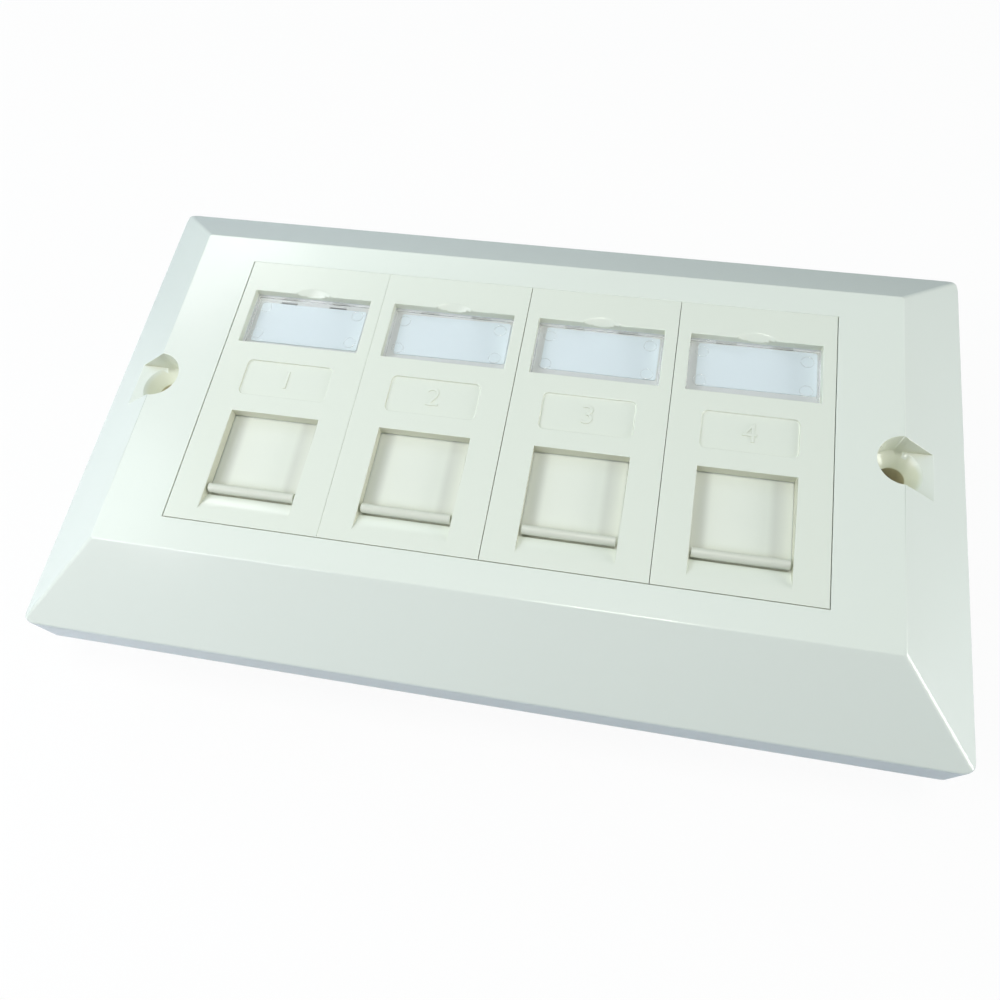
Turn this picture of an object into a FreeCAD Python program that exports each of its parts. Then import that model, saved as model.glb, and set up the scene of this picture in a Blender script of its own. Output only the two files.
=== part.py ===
import FreeCAD, Part
import math
import os
import re

import Sketcher

# Double-gang data faceplate with four shuttered jack modules.
#
# The plate lies face up. The origin is the centre of its back rim, +X runs along the long side,
# +Y runs from the jacks towards the label windows and +Z points out of the face.
# Every module is drawn about its own centre line and then placed along the opening, so a place
# across a module is measured from that centre line and a height is measured from the back rim.

MODULES = 4
CONTACTS = 8
IDC_PER_ROW = 4
RIBS_PER_SIDE = 3

# The least height, and the least volume, that count as a difference.
SAME_HEIGHT = 1e-4
SAME_VOLUME = 1e-6

SIZES = {
    # The bevelled plate. Its length and width follow from the opening, the flat land beside the
    # opening and the bevel: 146 by 86.
    "end_land": 10.2,
    "side_land": 5.2,
    "plate_depth": 16.5,
    "skirt_height": 7.0,
    "bevel_inset": 12.8,
    "plate_wall": 2.2,
    "corner_radius": 2.0,
    "mitre_round": 1.0,
    "edge_round": 0.6,
    # The two fixings, beyond the ends of the opening: 120.6 apart, as in a double wall box.
    "fixing_land": 10.3,
    "screw_hole_radius": 2.1,
    "countersink_radius": 4.1,
    "pillar_wall": 2.6,
    "relief_depth": 4.3,
    "relief_width": 8.0,
    # Moulded ribs that tie the collar of the opening to the skirt.
    "rib_thickness": 1.2,
    "rib_depth": 11.0,
    "rib_spacing": 40.0,
    # How far a rib or post runs into the wall that carries it, and a cut past the face it opens.
    "embed": 0.2,
    "run_out": 1.0,
    # The opening and the ledge that the modules stand on.
    "module_pitch": 25.0,
    "module_length": 50.0,
    "module_gap": 0.12,
    "collar_wall": 1.6,
    "ledge_depth": 5.0,
    "ledge_width": 1.2,
    "ledge_thickness": 1.8,
    "seat_gap": 0.15,
    # The module's frame.
    "front_wall": 1.7,
    "frame_wall": 1.0,
    "frame_depth": 12.5,
    "frame_chamfer": 0.2,
    "clip_width": 8.0,
    "clip_reach": 0.75,
    "clip_height": 1.6,
    "nib_reach": 0.4,
    "nib_height": 0.9,
    "nib_width": 1.4,
    # The label window, its well and the thumb scoop.
    "window_width": 20.8,
    "window_height": 10.7,
    "window_centre": 13.7,
    "well_depth": 2.1,
    "well_wall": 1.0,
    "pane_inset": 0.2,
    "pane_gap": 0.12,
    "pane_rim": 0.5,
    "pane_chamfer": 0.2,
    "paper_thickness": 0.2,
    "paper_gap": 0.1,
    "paper_margin": 0.3,
    "barb_width": 3.0,
    "barb_centre": 4.5,
    "barb_reach": 0.5,
    "barb_height": 0.4,
    "barb_lift": 0.1,
    "scoop_width": 7.1,
    "scoop_rise": 1.25,
    "scoop_lift": 8.0,
    # The shallow recess under the window.
    "badge_width": 14.8,
    "badge_height": 6.65,
    "badge_centre": 1.55,
    "badge_depth": 0.3,
    "badge_radius": 0.9,
    # The recess in front of the jack and the finger ramp below it.
    "recess_width": 14.8,
    "recess_top": -5.05,
    "recess_bottom": -19.85,
    "ramp_end": -23.05,
    "ramp_depth": 1.6,
    "ramp_thickness": 1.2,
    # The sprung shutter.
    "shutter_drop": 1.95,
    "shutter_thickness": 1.1,
    "shutter_overlap": 1.0,
    "shutter_gap": 0.1,
    "shutter_lap": 0.85,
    "shutter_end_gap": 0.18,
    "shutter_travel": 11.2,
    "bar_radius": 0.75,
    "bar_drop": 0.08,
    "bar_web": 0.8,
    "bar_end_gap": 0.1,
    "ear_thickness": 1.2,
    "ear_gap": 0.2,
    "ear_foot": -17.4,
    "peg_width": 1.0,
    "peg_length": 1.5,
    "guide_thickness": 0.8,
    "guide_gap": 0.15,
    "guide_lead": 0.5,
    # The spring beside the shutter.
    "spring_radius": 1.1,
    "spring_wire": 0.32,
    "spring_turns": 3,
    "spring_gap": 0.15,
    "spring_end_gap": 0.05,
    # The carrier that holds the jack and backs the shutter.
    "carrier_gap": 0.1,
    "flange_thickness": 1.0,
    "flange_top_end": 6.9,
    "tube_wall": 1.05,
    "catch_drop": 7.3,
    "catch_thickness": 2.0,
    "catch_gap": 0.12,
    "trough_floor": 0.8,
    "trough_wall": 1.0,
    "trough_end": 4.0,
    # The jack.
    "jack_width": 14.4,
    "jack_height": 16.0,
    "jack_centre": -13.2,
    "jack_drop": 3.5,
    "jack_depth": 16.0,
    "jack_gap": 0.15,
    "jack_chamfer": 0.3,
    "hook_reach": 0.85,
    "hook_height": 1.8,
    "shoulder_height": 3.2,
    "hook_inset": 1.5,
    "latch_width": 8.0,
    "latch_gap": 0.8,
    "latch_thickness": 1.0,
    "latch_reach": 1.1,
    "latch_root": 1.2,
    "latch_setback": 0.4,
    "latch_tail": 14.0,
    "plug_width": 11.8,
    "plug_height": 8.1,
    "plug_top": -9.2,
    "plug_depth": 12.5,
    "tab_width": 6.4,
    "tab_height": 1.3,
    "tongue_width": 4.0,
    "tongue_height": 1.1,
    # The eight contact springs.
    "contact_pitch": 1.02,
    "contact_width": 0.45,
    "contact_thickness": 0.3,
    "contact_run": 8.6,
    "contact_fall": 2.5,
    "contact_back": 6.0,
    "contact_fold": 0.5,
    "contact_gap": 0.1,
    "contact_slot_gap": 0.25,
    # The board, the punch-down block and its cap.
    "board_thickness": 1.2,
    "board_margin": 0.2,
    "post_width": 1.4,
    "post_gap": 0.08,
    "post_spacing": 12.0,
    "block_base": 1.8,
    "tower_height": 6.8,
    "tower_inner": 2.9,
    "tower_width": 3.2,
    "tower_margin": 1.2,
    "idc_pitch": 3.3,
    "idc_slot": 0.7,
    "idc_slot_depth": 5.2,
    "blade_thickness": 0.4,
    "blade_width": 2.2,
    "blade_gap": 0.08,
    "blade_inset": 0.8,
    "blade_slit": 0.3,
    "blade_slit_depth": 4.4,
    "cap_wall": 0.85,
    "cap_end_gap": 0.3,
    "cap_overlap": 5.6,
    "cable_notch": 6.0,
    "cable_notch_depth": 4.6,
    "cap_chamfer": 0.6,
}

# Heights, as distances from the back rim.
UNDER_FRONT = "(plate_depth - front_wall)"
LEDGE = "(plate_depth - ledge_depth)"
UNDER_LEDGE = "(plate_depth - ledge_depth - ledge_thickness)"
FRAME_BACK = "(plate_depth - frame_depth)"
WELL_FLOOR = "(plate_depth - well_depth)"
SHUTTER_FACE = "(plate_depth - shutter_drop)"
SHUTTER_BACK = "(plate_depth - shutter_drop - shutter_thickness)"
FLANGE_TOP = "(plate_depth - shutter_drop - shutter_thickness - shutter_gap)"
FLANGE_BACK = f"({FLANGE_TOP} - flange_thickness)"
CATCH_TOP = "(plate_depth - catch_drop)"
CATCH_BACK = "(plate_depth - catch_drop - catch_thickness)"
SPRING_HEIGHT = f"({FLANGE_TOP} - spring_radius - spring_gap)"
TROUGH_FLOOR = f"({SPRING_HEIGHT} - spring_radius - spring_gap)"
BAR_HEIGHT = "(plate_depth - bar_drop - bar_radius)"
JACK_FACE = "(plate_depth - jack_drop)"
JACK_BACK = "(plate_depth - jack_drop - jack_depth)"
BOARD_BACK = f"({JACK_BACK} - board_thickness)"
BLOCK_BACK = f"({BOARD_BACK} - block_base)"
TOWER_END = f"({BLOCK_BACK} - tower_height)"
BLADE_END = f"({TOWER_END} + blade_inset)"
CAP_INSIDE = f"({TOWER_END} - cap_end_gap)"
CAP_END = f"({CAP_INSIDE} - cap_wall)"
CAP_MOUTH = f"({TOWER_END} + cap_overlap)"

# Places across the plate and along a module.
PLATE_X = f"({MODULES} * module_pitch / 2 + end_land + bevel_inset)"
PLATE_Y = "(module_length / 2 + side_land + bevel_inset)"
FIXING_X = f"({MODULES} * module_pitch / 2 + fixing_land)"
OPENING_X = f"({MODULES} * module_pitch / 2 + module_gap)"
OPENING_Y = "(module_length / 2 + module_gap)"
FRAME_X = "(module_pitch / 2 - module_gap)"
BODY_Y = "(module_length / 2 + module_gap - ledge_width - seat_gap)"
CAVITY_X = "(module_pitch / 2 - module_gap - frame_wall)"
CAVITY_Y = f"({BODY_Y} - frame_wall)"
WINDOW_LOW = "(window_centre - window_height / 2)"
WINDOW_HIGH = "(window_centre + window_height / 2)"
PANE_X = "(window_width / 2 - pane_gap)"
SHUTTER_X = "(recess_width / 2 + shutter_overlap)"
SHUTTER_LOW = "(recess_bottom + shutter_end_gap)"
SHUTTER_HIGH = "(recess_top + shutter_lap)"
BAR_Y = f"({SHUTTER_LOW} + bar_radius)"
EAR_SEAT = "(ear_foot + ear_thickness)"
GUIDE_X = f"({SHUTTER_X} + guide_gap)"
TUBE_X = "(jack_width / 2 + jack_gap + tube_wall)"
TUBE_LOW = f"(carrier_gap - {CAVITY_Y})"
SPRING_X = f"({TUBE_X} + spring_gap + spring_radius)"
FLANGE_X = f"({CAVITY_X} - carrier_gap)"
JACK_LOW = "(jack_centre - jack_height / 2)"
JACK_HIGH = "(jack_centre + jack_height / 2)"
LATCH_LOW = f"({JACK_HIGH} + latch_gap)"
LATCH_HIGH = f"({LATCH_LOW} + latch_thickness)"
POCKET_LOW = f"({JACK_LOW} - hook_reach - jack_gap)"
POCKET_HIGH = f"({LATCH_HIGH} + latch_reach + 2 * jack_gap)"
PLUG_LOW = "(plug_top - plug_height)"
PLUG_BACK = f"({JACK_FACE} - plug_depth)"
TOWER_OUTER = "(tower_inner + tower_width)"
BLADE_X = "(tower_inner + tower_width / 2)"
FIRST_SLOT = f"(jack_centre - {IDC_PER_ROW - 1} * idc_pitch / 2)"
FIRST_POST = "(jack_centre - post_spacing / 2)"

# The slope of the bevel. Its wall is measured square to the slope, and ribs end halfway through it.
BEVEL_RISE = "(plate_depth - skirt_height)"
SLOPE = f"({BEVEL_RISE} / bevel_inset)"
WALL_DROP = f"(plate_wall * sqrt(1 + {SLOPE} * {SLOPE}))"
ROOF = "(plate_depth - plate_wall)"
RIB_FOOT = "(plate_depth - rib_depth)"
RIB_TOP = f"({ROOF} + embed)"
SKIRT_SEAT = "(plate_wall / 2)"


def tied(text):
    """The expression with each named size written as a cell of the sheet."""
    return re.sub(r"[a-z_]+", lambda word: "Sizes." + word[0] if word[0] in SIZES else word[0], text)


def value(text):
    return float(sheet.evalExpression(tied(text)))


def make_sheet():
    table = doc.addObject("Spreadsheet::Sheet", "Sizes")
    for row, (name, size) in enumerate(SIZES.items(), 1):
        table.set(f"A{row}", name)
        table.set(f"B{row}", str(size))
        table.setAlias(f"B{row}", name)
    doc.recompute()
    return table


doc = FreeCAD.newDocument("Faceplate")
sheet = make_sheet()


def new_body(label, groups=False):
    """A sub-part. One with groups holds several like pieces that do not touch."""
    body = doc.addObject("PartDesign::Body", label)
    body.Label = label
    body.AllowCompound = groups
    return body


def place(body, port, x="0", y="0", z="0"):
    """Puts a module's piece on the centre line of its port."""
    middle = (MODULES + 1) / 2
    along = f"({port} - {middle}) * module_pitch + ({x})"
    for axis, distance in (("x", along), ("y", y), ("z", z)):
        body.setExpression(f"Placement.Base.{axis}", tied(distance))


def origin_item(body, role):
    return next(item for item in body.Origin.OriginFeatures if item.Role == role)


# Sketches. Every corner of an outline is held by two distances from the sketch's origin.

PLANES = {"X": "YZ_Plane", "Y": "XZ_Plane", "Z": "XY_Plane"}


def new_sketch(body, name, axis, start):
    """A sketch square to an axis, on the plane that crosses the axis at start."""
    sketch = body.newObject("Sketcher::SketchObject", name)
    sketch.AttachmentSupport = [(origin_item(body, PLANES[axis]), "")]
    sketch.MapMode = "FlatFace"
    offset = f"-({start})" if axis == "Y" else start
    sketch.setExpression("AttachmentOffset.Base.z", tied(offset))
    return sketch


def dimension(sketch, kind, *where, size):
    index = sketch.addConstraint(Sketcher.Constraint(kind, *where, value(size)))
    sketch.setExpression(f"Constraints[{index}]", tied(size))


def hold(sketch, geometry, end, x, y):
    """Fixes one end of an edge, or a centre, at a place."""
    dimension(sketch, "DistanceX", -1, 1, geometry, end, size=x)
    dimension(sketch, "DistanceY", -1, 1, geometry, end, size=y)


def line(sketch, start, end, construction=False):
    ends = [FreeCAD.Vector(x, y, 0) for x, y in (start, end)]
    return sketch.addGeometry(Part.LineSegment(*ends), construction)


def outline(sketch, points):
    """A closed outline of straight edges."""
    places = [(value(x), value(y)) for x, y in points]
    edges = [line(sketch, here, there) for here, there in zip(places, places[1:] + places[:1])]
    for here, after in zip(edges, edges[1:] + edges[:1]):
        sketch.addConstraint(Sketcher.Constraint("Coincident", here, 2, after, 1))
    for edge, (x, y) in zip(edges, points):
        hold(sketch, edge, 1, x, y)


def rectangle(x_low, x_high, y_low, y_high):
    return [(x_low, y_low), (x_high, y_low), (x_high, y_high), (x_low, y_high)]


def across(half, y_low, y_high):
    """A rectangle that lies evenly about the centre line."""
    return rectangle(f"-({half})", half, y_low, y_high)


def circle(sketch, x, y, radius):
    centre = FreeCAD.Vector(value(x), value(y), 0)
    ring = Part.Circle(centre, FreeCAD.Vector(0, 0, 1), value(radius))
    index = sketch.addGeometry(ring, False)
    dimension(sketch, "Radius", index, size=radius)
    hold(sketch, index, 3, x, y)


def rounded(sketch, half_x, y_low, y_high, radius):
    """A rectangle with round corners, even about the centre line."""
    x, low, high, r = (value(size) for size in (half_x, y_low, y_high, radius))
    sides = [
        line(sketch, (r - x, low), (x - r, low)),
        line(sketch, (x, low + r), (x, high - r)),
        line(sketch, (x - r, high), (r - x, high)),
        line(sketch, (-x, high - r), (-x, low + r)),
    ]
    centres = [(x - r, low + r), (x - r, high - r), (r - x, high - r), (r - x, low + r)]
    arcs = []
    for quarter, (cx, cy) in enumerate(centres):
        ring = Part.Circle(FreeCAD.Vector(cx, cy, 0), FreeCAD.Vector(0, 0, 1), r)
        start = (quarter - 1) * math.pi / 2
        arcs.append(sketch.addGeometry(Part.ArcOfCircle(ring, start, start + math.pi / 2), False))
    for quarter, arc in enumerate(arcs):
        side, after = sides[quarter], sides[(quarter + 1) % 4]
        sketch.addConstraint(Sketcher.Constraint("Tangent", side, 2, arc, 1))
        sketch.addConstraint(Sketcher.Constraint("Tangent", arc, 2, after, 1))
        sketch.addConstraint(Sketcher.Constraint("Vertical" if quarter % 2 else "Horizontal", side))
    for arc in arcs[1:]:
        sketch.addConstraint(Sketcher.Constraint("Equal", arcs[0], arc))
    dimension(sketch, "Radius", arcs[0], size=radius)
    dimension(sketch, "DistanceY", -1, 1, sides[0], 1, size=y_low)
    dimension(sketch, "DistanceX", -1, 1, sides[1], 1, size=half_x)
    dimension(sketch, "DistanceY", -1, 1, sides[2], 1, size=y_high)
    dimension(sketch, "DistanceX", -1, 1, sides[3], 1, size=f"-({half_x})")


# Features. A pad or a cut starts on its sketch's plane and runs to the far end of its range.

def extrude(body, name, sketch, length, cut):
    feature = body.newObject("PartDesign::Pocket" if cut else "PartDesign::Pad", name)
    feature.Profile = sketch
    feature.Reversed = cut
    feature.setExpression("Length", tied(length))
    return feature


def prism(body, name, axis, low, high, *outlines, cut=False):
    """A straight piece, or cut, from low to high along an axis.

    An outline square to X is given as (Y, Z), square to Y as (X, Z) and square to Z as (X, Y).
    """
    sketch = new_sketch(body, name + "_outline", axis, high if axis == "Y" else low)
    for points in outlines:
        outline(sketch, points)
    return extrude(body, name, sketch, f"({high}) - ({low})", cut)


def rod(body, name, axis, low, high, x, y, radius, cut=False):
    """A round piece, or hole, about a line along an axis."""
    sketch = new_sketch(body, name + "_outline", axis, high if axis == "Y" else low)
    circle(sketch, x, y, radius)
    return extrude(body, name, sketch, f"({high}) - ({low})", cut)


def turned(body, name, x, points, angle, cut):
    """A shape turned about the upright line at x, from points given as (distance, height)."""
    sketch = new_sketch(body, name + "_outline", "Y", "0")
    outline(sketch, [(f"({x}) + ({distance})", height) for distance, height in points])
    axle = line(sketch, (value(x), 0), (value(x), value("run_out")), construction=True)
    hold(sketch, axle, 1, x, "0")
    hold(sketch, axle, 2, x, "run_out")
    feature = body.newObject("PartDesign::Groove" if cut else "PartDesign::Revolution", name)
    feature.Profile = sketch
    feature.ReferenceAxis = (sketch, ["Axis0"])
    feature.Angle = angle
    feature.Midplane = angle < 360
    return feature


def mirrored(body, name, originals, plane="YZ_Plane"):
    feature = body.newObject("PartDesign::Mirrored", name)
    feature.Originals = originals
    feature.MirrorPlane = (origin_item(body, plane), [""])
    body.Tip = feature
    return feature


def repeated(body, name, originals, axis, count, spacing):
    feature = body.newObject("PartDesign::LinearPattern", name)
    feature.Originals = originals
    feature.Direction = (origin_item(body, f"{axis}_Axis"), [""])
    feature.Occurrences = count
    feature.setExpression("Length", tied(f"{count - 1} * ({spacing})"))
    body.Tip = feature
    return feature


def soften(body, kind, name, size, lowest, highest=None):
    """Rounds or chamfers edges of the body's last feature.

    An edge is chosen by the ranges of height that its lowest and its highest point lie in. With one
    range given, the whole edge lies in it.
    """
    doc.recompute()
    base = body.Tip
    low, high = ([value(height) for height in span] for span in (lowest, highest or lowest))
    chosen = []
    for number, edge in enumerate(base.Shape.Edges, 1):
        box = edge.BoundBox
        ends = ((box.ZMin, low), (box.ZMax, high))
        if all(start - SAME_HEIGHT < z < stop + SAME_HEIGHT for z, (start, stop) in ends):
            chosen.append(f"Edge{number}")
    feature = body.newObject(f"PartDesign::{kind}", name)
    feature.Base = (base, chosen)
    feature.setExpression("Radius" if kind == "Fillet" else "Size", tied(size))
    return feature


def level(height):
    """The range of height that holds only one height."""
    return (height, height)


# The plate: a skirt, a bevel and a flat face, hollow behind.

def face_at(feature, height):
    """The flat face of a feature that lies square to Z at a height."""
    wanted = value(height)
    for number, face in enumerate(feature.Shape.Faces, 1):
        box = face.BoundBox
        if max(abs(box.ZMin - wanted), abs(box.ZMax - wanted)) < SAME_HEIGHT:
            return f"Face{number}"
    raise RuntimeError(f"{feature.Label} has no face at {height}")


def bevelled_shell(body):
    """A block with its upper edges cut back along the bevel, then hollowed from behind."""
    block = prism(body, "block", "Z", "0", "plate_depth", across(PLATE_X, f"-{PLATE_Y}", PLATE_Y))
    doc.recompute()
    bevel = body.newObject("PartDesign::Chamfer", "bevel")
    bevel.Base = (block, [face_at(block, "plate_depth")])
    bevel.ChamferType = "Two distances"
    bevel.setExpression("Size", tied(BEVEL_RISE))
    bevel.setExpression("Size2", tied("bevel_inset"))
    doc.recompute()
    shell = body.newObject("PartDesign::Thickness", "shell")
    shell.Base = (bevel, [face_at(bevel, "0")])
    shell.Join = "Intersection"
    shell.Reversed = True
    shell.setExpression("Value", tied("plate_wall"))


def trim_corners(body):
    """Cuts away what lies outside the rounded outline, so the upright corners get their radius."""
    sketch = new_sketch(body, "corner_trim_outline", "Z", "0")
    far_y = f"({PLATE_Y} + run_out)"
    outline(sketch, across(f"{PLATE_X} + run_out", f"-{far_y}", far_y))
    rounded(sketch, PLATE_X, f"-{PLATE_Y}", PLATE_Y, "corner_radius")
    extrude(body, "corner_trim", sketch, "plate_depth", cut=True)


def mid_bevel(half_size, height):
    """How far out the middle of the bevel's wall lies at a height."""
    return f"({half_size} - ({height} + {WALL_DROP} / 2 - skirt_height) / {SLOPE})"


def mid_bevel_height(inset):
    return f"(skirt_height + ({inset}) * {SLOPE} - {WALL_DROP} / 2)"


def add_fixings(body):
    """Screw pillars, and the sunk seats that run out through the bevel."""
    seat = "(plate_depth - relief_depth)"
    seat_back = f"({seat} - plate_wall)"
    boss = "(countersink_radius + plate_wall)"
    half_boss = turned(
        body, "seat_boss", FIXING_X,
        rectangle(f"-{boss}", "0", seat_back, RIB_TOP), angle=180, cut=False,
    )
    bevel_boss = prism(
        body, "bevel_boss", "Y", f"-{boss}", boss,
        [
            (FIXING_X, seat_back),
            (mid_bevel(PLATE_X, seat_back), seat_back),
            (mid_bevel(PLATE_X, RIB_TOP), RIB_TOP),
            (FIXING_X, RIB_TOP),
        ],
    )
    pillar = rod(
        body, "pillar", "Z", "0", f"{seat_back} + embed", FIXING_X, "0", "screw_hole_radius + pillar_wall",
    )
    rib_end = f"({PLATE_X} - {SKIRT_SEAT})"
    pillar_rib = prism(
        body, "pillar_rib", "Y", "-rib_thickness / 2", "rib_thickness / 2",
        [
            (f"{OPENING_X} + collar_wall / 2", RIB_FOOT),
            (rib_end, RIB_FOOT),
            (rib_end, mid_bevel_height(SKIRT_SEAT)),
            (mid_bevel(PLATE_X, f"{seat_back} + embed"), f"{seat_back} + embed"),
            (f"{OPENING_X} + collar_wall / 2", f"{seat_back} + embed"),
        ],
    )
    mirrored(body, "far_pillar", [half_boss, bevel_boss, pillar, pillar_rib])
    hole = turned(
        body, "countersink", FIXING_X,
        [
            ("0", "-run_out"),
            ("screw_hole_radius", "-run_out"),
            ("screw_hole_radius", f"{seat} - countersink_radius + screw_hole_radius"),
            ("countersink_radius", seat),
            ("countersink_radius", "plate_depth + run_out"),
            ("0", "plate_depth + run_out"),
        ],
        angle=360, cut=True,
    )
    relief = prism(
        body, "relief", "Z", seat, "plate_depth + run_out",
        rectangle(FIXING_X, f"{PLATE_X} + run_out", "-relief_width / 2", "relief_width / 2"), cut=True,
    )
    mirrored(body, "far_fixing", [hole, relief])


def add_ribs(body):
    end = f"({PLATE_Y} - {SKIRT_SEAT})"
    start = f"({OPENING_Y} + collar_wall / 2)"
    first = f"(-{RIBS_PER_SIDE - 1} * rib_spacing / 2)"
    rib = prism(
        body, "rib", "X", f"{first} - rib_thickness / 2", f"{first} + rib_thickness / 2",
        [
            (start, RIB_FOOT),
            (end, RIB_FOOT),
            (end, mid_bevel_height(SKIRT_SEAT)),
            (mid_bevel(PLATE_Y, RIB_TOP), RIB_TOP),
            (start, RIB_TOP),
        ],
        [
            (f"-{start}", RIB_FOOT),
            (f"-{start}", RIB_TOP),
            (f"-{mid_bevel(PLATE_Y, RIB_TOP)}", RIB_TOP),
            (f"-{end}", mid_bevel_height(SKIRT_SEAT)),
            (f"-{end}", RIB_FOOT),
        ],
    )
    repeated(body, "ribs", [rib], "X", RIBS_PER_SIDE, "rib_spacing")


def add_opening(body):
    """The collar, the opening in it and the ledges along its long sides."""
    collar_y = f"({OPENING_Y} + collar_wall)"
    prism(
        body, "collar", "Z", UNDER_LEDGE, RIB_TOP,
        across(f"{OPENING_X} + collar_wall", f"-{collar_y}", collar_y),
    )
    throat = f"({OPENING_Y} - ledge_width)"
    prism(
        body, "opening", "Z", LEDGE, "plate_depth + run_out",
        across(OPENING_X, f"-{OPENING_Y}", OPENING_Y), cut=True,
    )
    prism(
        body, "throat", "Z", f"{UNDER_LEDGE} - run_out", LEDGE,
        across(OPENING_X, f"-{throat}", throat), cut=True,
    )


def make_faceplate():
    body = new_body("faceplate")
    bevelled_shell(body)
    trim_corners(body)
    knee = ("skirt_height", f"skirt_height + corner_radius * {SLOPE}")
    soften(body, "Fillet", "mitres", "mitre_round", knee, level("plate_depth"))
    soften(body, "Fillet", "knee", "edge_round", knee)
    soften(body, "Fillet", "rim_of_face", "edge_round", level("plate_depth"))
    add_ribs(body)
    add_opening(body)
    add_fixings(body)


# A module's frame: a flush face on a narrower body that passes the ledges and clips under them.

def add_window_well(body):
    prism(
        body, "well", "Z", f"{WELL_FLOOR} - well_wall", UNDER_FRONT,
        across(f"{CAVITY_X} + embed", f"{WINDOW_LOW} - well_wall", f"{WINDOW_HIGH} + well_wall"),
    )
    # The scoop is where a large ball meets the face, in a circle that rises over the window's edge.
    ring = "((scoop_width * scoop_width / 4 + scoop_rise * scoop_rise) / (2 * scoop_rise))"
    scoop = body.newObject("PartDesign::SubtractiveSphere", "thumb_scoop")
    scoop.setExpression("Radius", tied(f"sqrt({ring} * {ring} + scoop_lift * scoop_lift)"))
    scoop.setExpression("Placement.Base.y", tied(f"{WINDOW_HIGH} + scoop_rise - {ring}"))
    scoop.setExpression("Placement.Base.z", tied("plate_depth + scoop_lift"))
    prism(
        body, "window_recess", "Z", WELL_FLOOR, "plate_depth + run_out",
        across("window_width / 2", WINDOW_LOW, WINDOW_HIGH), cut=True,
    )
    half = "(barb_width / 2 + pane_gap)"
    slot = prism(
        body, "latch_slot", "Z", WELL_FLOOR, f"{WELL_FLOOR} + barb_lift + barb_height + pane_gap",
        rectangle(
            f"barb_centre - {half}", f"barb_centre + {half}",
            f"{WINDOW_HIGH} - embed", f"{WINDOW_HIGH} + barb_reach + pane_gap",
        ),
        cut=True,
    )
    mirrored(body, "far_latch_slot", [slot])


def add_jack_recess(body):
    """The recess in front of the shutter, and the finger ramp that rises from its lower edge."""
    ramp_foot = "(plate_depth - ramp_depth)"
    prism(
        body, "ramp_backing", "X", f"-{SHUTTER_X}", SHUTTER_X,
        rectangle(f"-{CAVITY_Y} - embed", "recess_bottom", f"{ramp_foot} - ramp_thickness", UNDER_FRONT),
    )
    prism(
        body, "jack_recess", "Z", f"{UNDER_FRONT} - run_out / 2", "plate_depth + run_out",
        across("recess_width / 2", "recess_bottom", "recess_top"), cut=True,
    )
    prism(
        body, "ramp", "X", "-recess_width / 2", "recess_width / 2",
        [
            ("recess_bottom", ramp_foot),
            ("ramp_end", "plate_depth"),
            ("ramp_end", "plate_depth + run_out"),
            ("recess_bottom", "plate_depth + run_out"),
        ],
        cut=True,
    )


def add_badge(body):
    sketch = new_sketch(body, "badge_outline", "Z", "plate_depth - badge_depth")
    low, high = (f"(badge_centre {side} badge_height / 2)" for side in "-+")
    rounded(sketch, "badge_width / 2", low, high, "badge_radius")
    extrude(body, "badge_recess", sketch, "badge_depth + run_out", cut=True)


def add_guides(body):
    """Ribs that keep the shutter straight and press the carrier on to its seat."""
    lead = f"({EAR_SEAT} + shutter_travel + guide_lead)"
    prism(
        body, "guides", "Z", FLANGE_TOP, UNDER_FRONT,
        rectangle(f"-{GUIDE_X} - guide_thickness", f"-{GUIDE_X}", "recess_bottom", "flange_top_end"),
        rectangle(GUIDE_X, f"{GUIDE_X} + guide_thickness", lead, "flange_top_end"),
    )


def add_frame_clips(body):
    top = f"({UNDER_LEDGE} - catch_gap)"
    reach = f"({BODY_Y} + clip_reach)"
    clip = prism(
        body, "clip", "X", "-clip_width / 2", "clip_width / 2",
        [(f"{BODY_Y} - embed", f"{top} - clip_height"), (reach, top), (f"{BODY_Y} - embed", top)],
    )
    mirrored(body, "far_clip", [clip], "XZ_Plane")
    nib_top = f"({FLANGE_BACK} - catch_gap / 2)"
    wedge = [
        (f"{CAVITY_X} - nib_reach", nib_top),
        (f"{CAVITY_X} + embed", f"{nib_top} - nib_height"),
        (f"{CAVITY_X} + embed", nib_top),
    ]
    low_nib = f"({TUBE_LOW} + guide_thickness)"
    high_nib = "(flange_top_end - embed)"
    nibs = [
        prism(body, "low_nib", "Y", low_nib, f"{low_nib} + nib_width", wedge),
        prism(body, "high_nib", "Y", f"{high_nib} - nib_width", high_nib, wedge),
    ]
    mirrored(body, "far_nibs", nibs)


def make_module_frame(port):
    body = new_body(f"module_frame_{port}")
    prism(
        body, "head", "Z", LEDGE, "plate_depth",
        across(FRAME_X, "-module_length / 2", "module_length / 2"),
    )
    soften(body, "Chamfer", "face_edges", "frame_chamfer", level("plate_depth"))
    prism(body, "trunk", "Z", FRAME_BACK, LEDGE, across(FRAME_X, f"-{BODY_Y}", BODY_Y))
    prism(
        body, "cavity", "Z", FRAME_BACK, UNDER_FRONT,
        across(CAVITY_X, f"-{CAVITY_Y}", CAVITY_Y), cut=True,
    )
    add_window_well(body)
    add_jack_recess(body)
    add_badge(body)
    add_guides(body)
    add_frame_clips(body)
    place(body, port)


# The carrier: a flange behind the shutter, a square tube for the jack and the spring's trough.

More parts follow.
